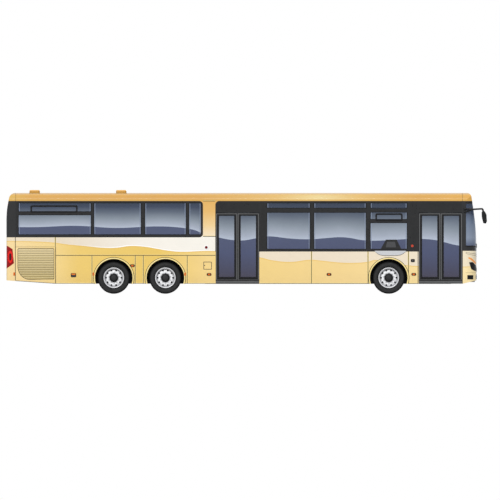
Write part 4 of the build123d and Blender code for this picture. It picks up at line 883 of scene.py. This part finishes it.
side_piece("window_gaskets", "rubber", 8, 2.5, gaskets(PANES), gaskets(LEFT_PANES), bevel=1.0)
side_piece("hopper_frames", "rubber", 6, 6, [(grown(box, 18, 52), grown(box, -30, 24)) for box in HOPPERS],
           bevel=1.5)
# painted highlights: light strips inside both ends of every pane
side_piece("pane_edges", "reveal", 12, -0.5, pane_highlights(PANES), pane_highlights(LEFT_PANES), bevel=1)

# gold corners that round the black window bands; columns: corner station, Z, directions inward
CORNER_R = 120
BAND_CORNERS = ((6229, COVE_Z, -1, -1), (6229, REAR_WAIST_Z, -1, 1), (6621, COVE_Z, 1, -1))
side_piece("band_corners", "gold", 2, 1, [
    [(s, z)] + [(s + ds * (CORNER_R - a), z + dz * (CORNER_R - b)) for a, b in arc(CORNER_R, 8)]
    for s, z, ds, dz in BAND_CORNERS])

# cover plate over the front wheel, left bare
COVER = ((11659, 1363), (11700, 1322), (11775, 1266), (11860, 1231), (11990, 1217), (12340, 1217),
         (12470, 1231), (12560, 1266), (12636, 1322), (12677, 1363))
COVER_MIDDLE = Vector((12168, 1295))
COVER_GROWTH = Vector((1.024, 1.16))
GUSSET = ((12020, 1470), (12350, 1470), (12318, 1650), (12064, 1650))
cover = rounded(COVER, 20)
cover_edge = [tuple(COVER_MIDDLE + (Vector(p) - COVER_MIDDLE) * COVER_GROWTH) for p in cover]
side_piece("wheel_cover_plate", "silver", 2, 7, [cover], bevel=3)
side_piece("cover_plate_edge", "dark_seam", 2, 4, [(cover_edge, cover)])
side_piece("gusset_panel", "grey_black", 2, 5, [rounded(GUSSET, 24)], bevel=2)

# ================ doors
RIGHT = (-1,)
DOOR_STARTS = {"mid": 6630, "front": 13068}
LEAF_GAP, LEAF_PITCH, LEAF_W = 9, 688, 676
for door, start in DOOR_STARTS.items():
    for leaf, first in (("rear", start + LEAF_GAP), ("fore", start + LEAF_GAP + LEAF_PITCH)):
        body = f"{door}_door_{leaf}_leaf"
        last = first + LEAF_W
        on_leaf = {"sides": RIGHT, "body": body}
        edge = (panel(first + 6, last - 6, 444, 2546, 18), panel(first + 27, last - 27, 457, 2530, 16))
        gasket = (panel(first + 44, last - 44, 508, 2496, 18), panel(first + 96, last - 96, 533, 2473, 16))
        foot = panel(first + 30, last - 30, 452, 505, 10)
        side_piece(f"{body}_edge", "grey", 6, 2, [edge], **on_leaf, bevel=0.8)
        side_piece(f"{body}_gasket", "rubber", 6, 3, [gasket], **on_leaf, bevel=1.0)
        side_piece(f"{body}_kick_strip", "rubber", 2, 2, [foot], **on_leaf, bevel=1.0)

# ================ skin of the end caps
NOSE = 14900             # foremost station of the nose
NOSE_TOP_Z, TAIL_TOP_Z = 1200, 2300      # both ends are upright below these
NOSE_LINE = ((14743, 3043), (14836, 2438), (NOSE, NOSE_TOP_Z))
TAIL_LINE = ((88, 3067), (22, 2690), (0, TAIL_TOP_Z))
CROWN_R = 23240          # of the nose, seen from above
CROWN_HALF = 958
CORNER_C = 14550.5       # station of the nose corner's centre
CORNER_Y = 945
NOSE_CORNER_R = 330


def arc_station(rows, z, way):
    """Station at height z on the circle through three (station, Z) rows."""
    (a, b), (c, d), (e, f) = rows
    twice = 2 * (a * (d - f) + c * (f - b) + e * (b - d))
    squares = [a * a + b * b, c * c + d * d, e * e + f * f]
    s = (squares[0] * (d - f) + squares[1] * (f - b) + squares[2] * (b - d)) / twice
    h = (squares[0] * (e - c) + squares[1] * (a - e) + squares[2] * (c - a)) / twice
    return s + way * math.sqrt((a - s) ** 2 + (b - h) ** 2 - (z - h) ** 2)


def nose_station(z):
    return NOSE if z < NOSE_TOP_Z else arc_station(NOSE_LINE, z, 1)


def tail_station(z):
    return 0 if z < TAIL_TOP_Z else arc_station(TAIL_LINE, z, -1)


def on_end(u, v, w):
    """Point at Y u and Z v, w ahead of the tail's skin."""
    return tail_station(v) + w, u, v


def nose_plan(y):
    """Station of the nose at Y, low down."""
    if abs(y) < CROWN_HALF:
        return NOSE - CROWN_R + math.sqrt(CROWN_R ** 2 - y * y)
    return CORNER_C + math.sqrt(max(0, NOSE_CORNER_R ** 2 - (abs(y) - CORNER_Y) ** 2))


def nose_corner(side, low, high, steps):
    """Plan of a nose corner as (station, Y, normal station, normal Y), between two angles."""
    return [(CORNER_C + NOSE_CORNER_R * c, side * (CORNER_Y + NOSE_CORNER_R * s), c, side * s)
            for c, s in arc(1, steps, low, high)]


def nose_front(half, steps=12):
    """Plan of the nose's front between -half and half, in the same columns."""
    ys = [-half + 2 * half * k / steps for k in range(steps + 1)]
    return [(nose_plan(y), y, 1, y / CROWN_R) for y in ys]


def nose_round():
    """Plan of the whole nose, right to left."""
    return (nose_corner(-1, math.pi / 2, 0, 10)[:-1] + nose_front(940, 16)
            + nose_corner(1, 0, math.pi / 2, 10)[1:])


def hug(form, height, half, out, deep, points, fall=0):
    """Band on the nose, half as high each way; its middle may lie lower than its ends by a fall."""
    rings = []
    for k, (s, y, ns, ny) in enumerate(points):
        share = 1 - abs(2 * k / (len(points) - 1) - 1)
        z = height - fall * share ** 0.55
        ring = []
        for reach, up in ((out, -half), (out, half), (-deep, half), (-deep, -half)):
            station = min(s, nose_station(z + up))
            ring.append((station + reach * ns, y + reach * ny, z + up))
        rings.append(ring)
    form.loft(rings)


# -------- roof seams and vents
ROOF_Z = 3195
ROOF_CROWN_R = 16526
ROOF_CORNER_Y, ROOF_CORNER_Z, ROOF_CORNER_R = 1075, 2960, 200


def roof_section(inset):
    """Roof outline from one cove to the other, as (Y, Z)."""
    corner = [(ROOF_CORNER_Y + a, ROOF_CORNER_Z + b) for a, b in arc(ROOF_CORNER_R - inset, 8)]
    crown = [(y, ROOF_Z - inset - ROOF_CROWN_R + math.sqrt(ROOF_CROWN_R ** 2 - y * y))
             for y in (ROOF_CORNER_Y * (1 - k / 6) for k in range(1, 12))]
    left = [(HALF_WIDTH - inset, COVE_Z)] + corner
    return left + crown + [(-y, z) for y, z in reversed(left)]


ROOF_JOINTS = (290, 14453)
VENTS = (894, 3639)
VENT_HALF_LENGTH, VENT_HALF_WIDTH = 165, 350
roof_seams = Form()
for station in ROOF_JOINTS:
    roof_seams.loft([[(station - 4, *over), (station + 4, *over), (station + 4, *under),
                      (station - 4, *under)]
                     for over, under in zip(roof_section(-1.2), roof_section(3))])
piece("roof_seams", roof_seams, "seam")

vent_seals, vent_seams = Form(), Form()
for station in VENTS:
    box = (station - VENT_HALF_LENGTH, station + VENT_HALF_LENGTH, -VENT_HALF_WIDTH, VENT_HALF_WIDTH)
    for form, grow, z0, z1 in ((vent_seals, 7, 3180, 3203), (vent_seams, 1.5, 3238, 3244)):
        form.frame(grown(box, grow, 62), grown(box, -7, 60), z0, z1, in_plan)
piece("vent_seals", vent_seals, "rubber", bevel=2)
piece("vent_lid_seams", vent_seams, "seam")

# -------- nose
SCREEN_ENDS_Z = (1497, 2892)
BUMPER_TOP_Z = 668
FOG_LAMP_Z = 524
screen_gasket, crease_shade, nose_seams = Form(), Form(), Form()
for height in SCREEN_ENDS_Z:
    hug(screen_gasket, height, 9, 4, 4, nose_round())
# painted shade: dark lines along the nose's two creases, lower in the middle
for height, fall in ((1322, 92), (1290, 128)):
    hug(crease_shade, height, 4, 2.5, 2, nose_round(), fall)
hug(nose_seams, BUMPER_TOP_Z, 3, 1, 2, nose_round())
piece("screen_gasket", screen_gasket, "rubber", bevel=1.5)
piece("nose_crease_shade", crease_shade, "seam")
piece("bumper_seam", nose_seams, "seam")

# bands on the nose's front; columns: name, material, bevel, heights, half height, reach out, half width
for name, material, bevel, heights, high, out, half in (
        ("bumper_mesh", "dark_seam", 0, (545,), 78, 1.5, 620),
        ("bumper_slats", "grey_black", 1.5, range(487, 604, 29), 6, 9, 612),
        ("front_plate_frame", "rubber", 2, (762,), 64, 6, 270),
        ("front_plate", "plate", 2, (762,), 54, 9, 258)):
    form = Form()
    for height in heights:
        hug(form, height, high, out, 2, nose_front(half))
    piece(name, form, material, bevel=bevel)

# headlamps and fog lamps; columns: Y, Z, radius
lamp_bezels, lamp_domes = Form(), Form()
for y, z, r in ((-795, 792, 62), (-925, 798, 56), (795, 792, 62), (925, 798, 56), (-880, 525, 44),
                (880, 525, 44)):
    s = nose_plan(y)
    lamp_bezels.dial([(-6, r + 5), (5, r + 5), (7, r), (2, r - 6), (-6, r - 8)], s, y, z, 1)
    lamp_domes.dial([(-6, r - 7), (1, r - 7), (6, r * 0.6), (9, r * 0.3), (10, 1)], s, y, z, 1)
piece("headlamp_bezels", lamp_bezels, "nut")
piece("headlamp_domes", lamp_domes, "clear")

# columns: name, material, angles on the nose corner, half height, reach out
for name, material, low, high, half, out in (("fog_lamp_panels", "mirror", 42, 80, 68, 3),
                                             ("fog_lamp_lenses", "front_lamp", 50, 70, 42, 6)):
    form = Form()
    for side in SIDES.values():
        hug(form, FOG_LAMP_Z, half, out, 2, nose_corner(side, math.radians(low), math.radians(high), 8))
    piece(name, form, material, bevel=2)

# wipers; columns: Y of the pivot and of the blade's ends
PIVOT_Z, BLADE_Z = 1472, 1585
wipers, wiper_pivots = Form(), Form()
for pivot, start, end in ((-180, -1010, -230), (900, 20, 800)):
    wipers.tube([(nose_plan(y) + 4, y, BLADE_Z)
                 for y in (start + (end - start) * k / 8 for k in range(9))], 7, 6)
    elbow = (start + end) / 2
    wipers.tube([(nose_plan(pivot) + 4, pivot, PIVOT_Z), (nose_plan(pivot) + 8, pivot, PIVOT_Z + 20),
                 (nose_plan(elbow) + 9, elbow, BLADE_Z - 13), (nose_plan(elbow) + 5, elbow, BLADE_Z)], 8, 8)
    wiper_pivots.dial([(-4, 26), (4, 26), (7, 20), (10, 18), (12, 12), (12, 1)],
                      nose_plan(pivot), pivot, PIVOT_Z, 1, 20)
piece("wipers", wipers, "rubber")
piece("wiper_pivots", wiper_pivots, "mirror")

# sleeves of the mirror arms; columns: station, reach outside the body, Z
SLEEVES = (((14510, 20, 2695), (14650, 60, 2687), (14800, 100, 2678), (14940, 62, 2686),
            (15050, 31, 2693), (15085, 25, 2690), (15102, 25, 2672), (15109, 25, 2640),
            (15110, 25, 2610)),
           ((14510, 20, 2600), (14560, 30, 2607), (14640, 50, 2622), (14720, 75, 2650),
            (14790, 97, 2674)))
sleeves = Form()
for side in SIDES.values():
    for path in SLEEVES:
        sleeves.tube([(s, side * (HALF_WIDTH + reach), z) for s, reach, z in path], 27, 16)
piece("mirror_arm_sleeves", sleeves, "mirror")

# mirror glasses on the faces that look back; columns: two (station, Z) ends of each
MIRROR_Y, MIRROR_HALF = 1300, 98
looking = Form()
for side in SIDES.values():
    y0, y1 = side * (MIRROR_Y - MIRROR_HALF), side * (MIRROR_Y + MIRROR_HALF)
    for (s0, z0), (s1, z1) in (((15063, 2580), (15069, 2432)), ((15074, 2404), (15113, 2256))):
        looking.loft([[(s0 - back, y0, z0), (s0 - back, y1, z0), (s1 - back, y1, z1),
                       (s1 - back, y0, z1)] for back in (4, -2)])
piece("mirror_glasses", looking, "looking", bevel=1.5)

# -------- tail
REAR_WINDOW = (-956, 956, 1884, 2776)
rear_gasket = Form()
rear_gasket.frame(finer(panel(*REAR_WINDOW, 70, 6)), finer(panel(-926, 926, 1914, 2746, 50, 6)),
                  -3, 6, on_end)
piece("rear_window_gasket", rear_gasket, "rubber", bevel=1.5)

# plates on the engine door; columns: name, material, bevel, half width, feet, height, corner
# radius, reach out
for name, material, bevel, half, feet, high, radius, out in (
        ("engine_door_mesh", "dark_seam", 0, 660, (1150,), 312, 30, 0.5),
        ("engine_door_slats", "gold", 2, 640, range(1166, 1419, 36), 20, 6, 1.8),
        ("engine_door_handle", "rubber", 2, 110, (596,), 54, 14, 1.8),
        ("rear_plate_frame", "rubber", 2, 270, (776,), 128, 10, 1.2),
        ("rear_plate", "plate", 2, 258, (786,), 108, 8, 1.9)):
    form = Form()
    for foot_z in feet:
        form.plate(panel(-half, half, foot_z, foot_z + high, radius), -out, 2, on_end)
    piece(name, form, material, "engine_door", bevel=bevel)

# round rear lamps of each side; columns: material, heights
REAR_LAMP_Y = 1086
REAR_LAMP = ((-6, 52), (0.8, 52), (1.9, 46), (0.5, 40), (1.5, 20), (1.9, 1))
for key, heights in (("amber", (1404,)), ("red_light", (1254, 1104)), ("clear", (952,))):
    form = Form()
    for side in SIDES.values():
        for z in heights:
            form.dial(REAR_LAMP, 0, side * REAR_LAMP_Y, z, -1)
    piece(f"rear_lamp_{key}", form, key)
reflectors = Form()
for side in SIDES.values():
    reflectors.plate(panel(side * 1010, side * 1150, 560, 610, 12), -1.6, 2, on_end)
reflectors.plate(panel(-230, 230, 2806, 2838, 10), -4, 3, on_end)
piece("rear_reflectors", reflectors, "red", bevel=1.5)

# -------- small fittings of the sides
OVALS = ((3988, 891), (6422, 615), (10223, 615), (12911, 618))
side_piece("marker_bezels", "rubber", 2, 11.5, [
    (panel(s - 74, s + 74, z - 42, z + 42, 38), panel(s - 38, s + 38, z - 27, z + 27, 20))
    for s, z in OVALS], bevel=2)
side_piece("side_lamp_halo", "white", 2, 8,
           [(panel(6268, 6398, 1406, 1536, 64), panel(6296, 6370, 1434, 1508, 36))], bevel=2)
side_piece("side_locks", "rubber", 2, 8, [panel(2040, 2208, 526, 654, 30)], bevel=3)
side_piece("side_lock_lenses", "amber", 0, 11, [panel(2062, 2186, 598, 640, 12)], bevel=2)
side_piece("side_lock_slots", "grey", 0, 10,
           [(panel(2066, 2182, 542, 586, 12), panel(2074, 2174, 550, 578, 8))])
side_piece("door_button_plate", "rubber", 2, 8, [panel(12818, 12942, 1002, 1102, 26)], sides=RIGHT,
           bevel=3)
push, latch = Form(), Form()
push.lathe([(4, 20), (12, 20), (14, 16), (11, 12), (12, 0.5), (4, 0.5)], 12880, -HALF_WIDTH, 1052,
           -1, 28, closed=False)
latch.lathe([(-2, 15), (3, 15), (5, 12), (5, 0.5), (-2, 0.5)], 6280, -HALF_WIDTH, 900, -1, 24,
            closed=False)
piece("door_button", push, "grey")
side_piece("fuel_flap_edge", "dark_seam", 2, 1,
           [(panel(6250, 6500, 775, 1009, 24), panel(6261, 6489, 786, 998, 20))], sides=RIGHT,
           body="fuel_flap")
piece("fuel_flap_latch", latch, "dark_seam", "fuel_flap")

# louvred opening: its foot, rear, front and top, and the sweep at its lower rear corner
GRILLE_FOOT, GRILLE_REAR, GRILLE_FRONT, GRILLE_TOP = 456, 365, 1500, 1427
SWEEP_START, SWEEP_HIGH = 750, 405
SLAT_REAR, SLAT_FRONT = 369, 1495


def grille_line(grow):
    """Outline of the louvred opening, as (station, Z)."""
    foot, rear, front, top = (GRILLE_FOOT - grow, GRILLE_REAR - grow, GRILLE_FRONT + grow,
                              GRILLE_TOP + grow)
    sweep = [(SWEEP_START - (SWEEP_START - rear) * s, foot + (SWEEP_HIGH + grow) * (1 - c))
             for c, s in arc(1, 10)]
    box = rounded([(rear, GRILLE_FOOT + SWEEP_HIGH), (rear, top), (front, top), (front, foot)], 46)
    return sweep + box[6:]       # less its first corner, which the sweep makes


def slat_end(z):
    """Rear end of the louvred opening at height z."""
    share = min(1, (z - GRILLE_FOOT) / SWEEP_HIGH)
    return SWEEP_START - (SWEEP_START - SLAT_REAR) * math.sin(math.acos(1 - share))


grille_edge, louvres = Form(), Form()
grille_edge.skin_ring(-1, grille_line(14), grille_line(3), 3, 1.2)
grille_edge.skin(-1, TAIL_SKIRT, 8, 1.2)
for row in range(SLAT_COUNT):
    rings = []
    for share, back in ((0, 1), (0.04, -0.5), (0.5, 4), (0.9, 8), (0.92, 12)):
        z = SLAT_FOOT + (row + share) * SLAT_PITCH
        y = back - HALF_WIDTH
        rings.append([(slat_end(z), y, z), (SLAT_FRONT, y, z), (SLAT_FRONT, y + 4, z),
                      (slat_end(z), y + 4, z)])
    louvres.loft(rings)
piece("grille_edge", grille_edge, "dark_seam", "engine_side_door")
piece("louvre_faces", louvres, "louvre", "engine_side_door")

# ================ saloon
LOW_FLOOR, STEP_FLOOR, REAR_FLOOR = 415, 960, 1300
SEAT_ROWS = ([(700, REAR_FLOOR), (1400, REAR_FLOOR)]
             + [(2250 + 750 * k, STEP_FLOOR) for k in range(5)]
             + [(8450 + 750 * k, LOW_FLOOR) for k in range(4)])
# pad sections as (station from the seat back's foot, height over the floor)
BASE_PAD = ((22, 398), (428, 398), (432, 446), (96, 460), (22, 460))
BACK_PAD = ((2, 486), (72, 486), (-26, 1000), (-74, 1000))
PAD_W = 404
VOXEL, MOST_SWELL = 0.021, 0.014      # of the pads, in metres
FILL_FRAMES = 20
# grab handle over a seat's back; columns: station, Y and Z from the seat's place
GRIP = ((-84, -110, 990), (-96, -104, 1052), (-98, -70, 1074), (-98, 70, 1074), (-96, 104, 1052),
        (-84, 110, 990))
# seats; columns: station, floor, Y, width as a share; the driver's comes last
SEATS = [(s, z, side * y, 1.0) for s, z in SEAT_ROWS for side in SIDES.values() for y in (570, 990)]
SEATS.append((13650, LOW_FLOOR, 820, 1.25))


def pad_mesh(section):
    """Crowned pad: the section drawn out, remeshed, then filled by cloth pressure."""
    form = Form()
    form.plate(rounded(section, 16, 3), -PAD_W / 2 + 8, PAD_W / 2 - 8, on_side)
    mesh = bpy.data.meshes.new("pad")
    mesh.from_pydata([tuple(c / 1000 for c in p) for p in form.points], [], form.faces)
    fix_normals(mesh)
    obj = new_object("pad", mesh)
    remesh = obj.modifiers.new("remesh", "REMESH")
    remesh.mode = "VOXEL"
    remesh.voxel_size = VOXEL
    graph = bpy.context.evaluated_depsgraph_get()
    dense = bpy.data.meshes.new_from_object(obj.evaluated_get(graph))
    obj.modifiers.clear()
    obj.data = dense
    start = [v.co.copy() for v in dense.vertices]
    cloth = obj.modifiers.new("fill", "CLOTH")
    cloth.settings.use_pressure = True
    cloth.settings.uniform_pressure_force = 4
    cloth.settings.effector_weights.gravity = 0
    for frame_number in range(1, FILL_FRAMES + 1):
        bpy.context.scene.frame_set(frame_number)
    filled = obj.evaluated_get(bpy.context.evaluated_depsgraph_get()).data
    for vertex, rest, swollen in zip(dense.vertices, start, [v.co.copy() for v in filled.vertices]):
        move = swollen - rest
        vertex.co = rest + move * min(1, MOST_SWELL / max(move.length, 1e-6))
    obj.modifiers.clear()
    bpy.context.scene.frame_set(1)
    points = [tuple(1000 * c for c in v.co) for v in dense.vertices]
    faces = [tuple(f.vertices) for f in dense.polygons]
    bpy.data.objects.remove(obj)
    return points, faces


for name, section in (("seat_base_pads", BASE_PAD), ("seat_back_pads", BACK_PAD)):
    points, faces = pad_mesh(section)
    pads = Form()
    for s, z, y, wide in SEATS:
        pads.add([(s + p[0], y + p[1] * wide, z + p[2]) for p in points], faces)
    pad = piece(name, pads, "fabric", smooth=80)
    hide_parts("seat_cushions")

shells, piping, grips = Form(), Form(), Form()
for s, z, y, wide in SEATS:
    half = PAD_W * wide / 2
    back = panel(y - half + 6, y + half - 6, 372, 1016, 50)
    shells.loft([[(s - 6 - (v - 390) / 7 - w, u, z + v) for u, v in back] for w in (2, 12)])
    front = panel(y - half + 14, y + half - 14, 500, 990, 40)
    loop = [(s + 84 - (v - 470) / 5.5, u, z + v) for u, v in front]
    piping.tube(loop + loop[:1], 5, 6, caps=False)
    grips.tube([(s + ds, y + dy * wide, z + up) for ds, dy, up in GRIP], 12, 8)
piece("seat_shells", shells, "shell")
piece("seat_piping", piping, "rubber")
piece("seat_grips", grips, "rail")

STRIP_LIGHTS = ((420, 6150), (6350, 14250))
STRIP_Y = (640, 760)
STRIP_Z = (3092, 3112)
liner, light_strips = Form(), Form()
over, under = roof_section(57)[2:-2], roof_section(63)[2:-2]
liner.loft([[(s, *p) for p in over + under[::-1]] for s in (340, 14350)])
for side in SIDES.values():
    for s0, s1 in STRIP_LIGHTS:
        light_strips.plate(panel(s0, s1, side * STRIP_Y[0], side * STRIP_Y[1], 30), *STRIP_Z, in_plan)
piece("ceiling_liner", liner, "liner")
piece("light_strips", light_strips, "glow", bevel=4)

# uprights, with a stop button on those of the low floor; columns: station, floor
RAIL_Y = 322
UPRIGHTS = ((8250, LOW_FLOOR), (9750, LOW_FLOOR), (11300, LOW_FLOOR), (12900, LOW_FLOOR),
            (2080, STEP_FLOOR), (4330, STEP_FLOOR), (5830, STEP_FLOOR))
fittings, stops = Form(), Form()
for side in SIDES.values():
    for s, z in UPRIGHTS:
        rows = [(z + 1, 36), (z + 8, 36), (z + 14, 24), (z + 30, 20), (z + 30, 17.5)]
        fittings.loft([[(s + a, side * RAIL_Y + b, h) for a, b in circle(r, 16)] for h, r in rows])
        if z == LOW_FLOOR:
            stops.plate(panel(s - 30, s + 30, 1480, 1600, 16), side * (RAIL_Y - 18),
                        side * (RAIL_Y - 46), on_side)
piece("rail_feet", fittings, "rail")
piece("stop_buttons", stops, "red", bevel=4)

dash = Form()
dash.loft([[(s, y, z) for y, s in rectangle(640 + e, 1000 - e, 14575 + d, 14760 - d)]
           for d, e, z in ((0, 0, 1238), (0, 0, 1290), (26, 10, 1330))])
piece("dash_binnacle", dash, "desk", bevel=10)

# ================ stage, camera, light
stage_mesh = bpy.data.meshes.new("studio_floor")
stage_mesh.from_pydata([(-60, -60, 0), (60, -60, 0), (60, 60, 0), (-60, 60, 0)], [], [(0, 1, 2, 3)])
stage = new_object("studio_floor", stage_mesh)
pale = Shade("studio_floor", Roughness=0.9)
camera_ray = pale.node("LightPath", {}, "Is Camera Ray")
stage_mesh.materials.append(pale.finish(pale.mix(camera_ray, "B8B8B6", "F6F6F4")))

# the picture's view: level, of the right-hand side
camera = new_object("camera", bpy.data.cameras.new("camera"))
camera.data.type = "ORTHO"
camera.data.ortho_scale = 15.85
camera.location = (0.104, -40, 1.388)
camera.rotation_euler = (math.radians(90), 0, 0)
camera.data.clip_end = 200
bpy.context.scene.camera = camera

world = bpy.data.worlds.new("studio")
world.use_nodes = True
bpy.context.scene.world = world
tree = world.node_tree
camera_ray, through_ray = (add_node(tree, "LightPath", {}, f"Is {kind} Ray")
                           for kind in ("Camera", "Transmission"))
direct = add_node(tree, "Math", {0: camera_ray, 1: through_ray}, operation="MAXIMUM")
sky = add_node(tree, "Mix", {0: direct, 6: (0.62, 0.64, 0.68, 1), 7: (1, 1, 1, 1)}, 2, data_type="RGBA")
put(tree, tree.nodes["Background"].inputs["Color"], sky)

# columns: name, strength, angle, direction the light travels
for name, strength, angle, way in (("key", 1.9, 25, (0.25, 0.9, -0.62)),
                                   ("fill", 0.9, 40, (-0.5, -0.75, -0.55)),
                                   ("top", 0.3, 60, (0.1, 0.1, -1))):
    lamp = bpy.data.lights.new(name, "SUN")
    lamp.energy = strength
    lamp.angle = math.radians(angle)
    holder = new_object(name, lamp)
    holder.rotation_mode = "QUATERNION"
    holder.rotation_quaternion = Vector(way).to_track_quat("-Z", "Y")

bpy.context.scene.view_settings.view_transform = "Standard"
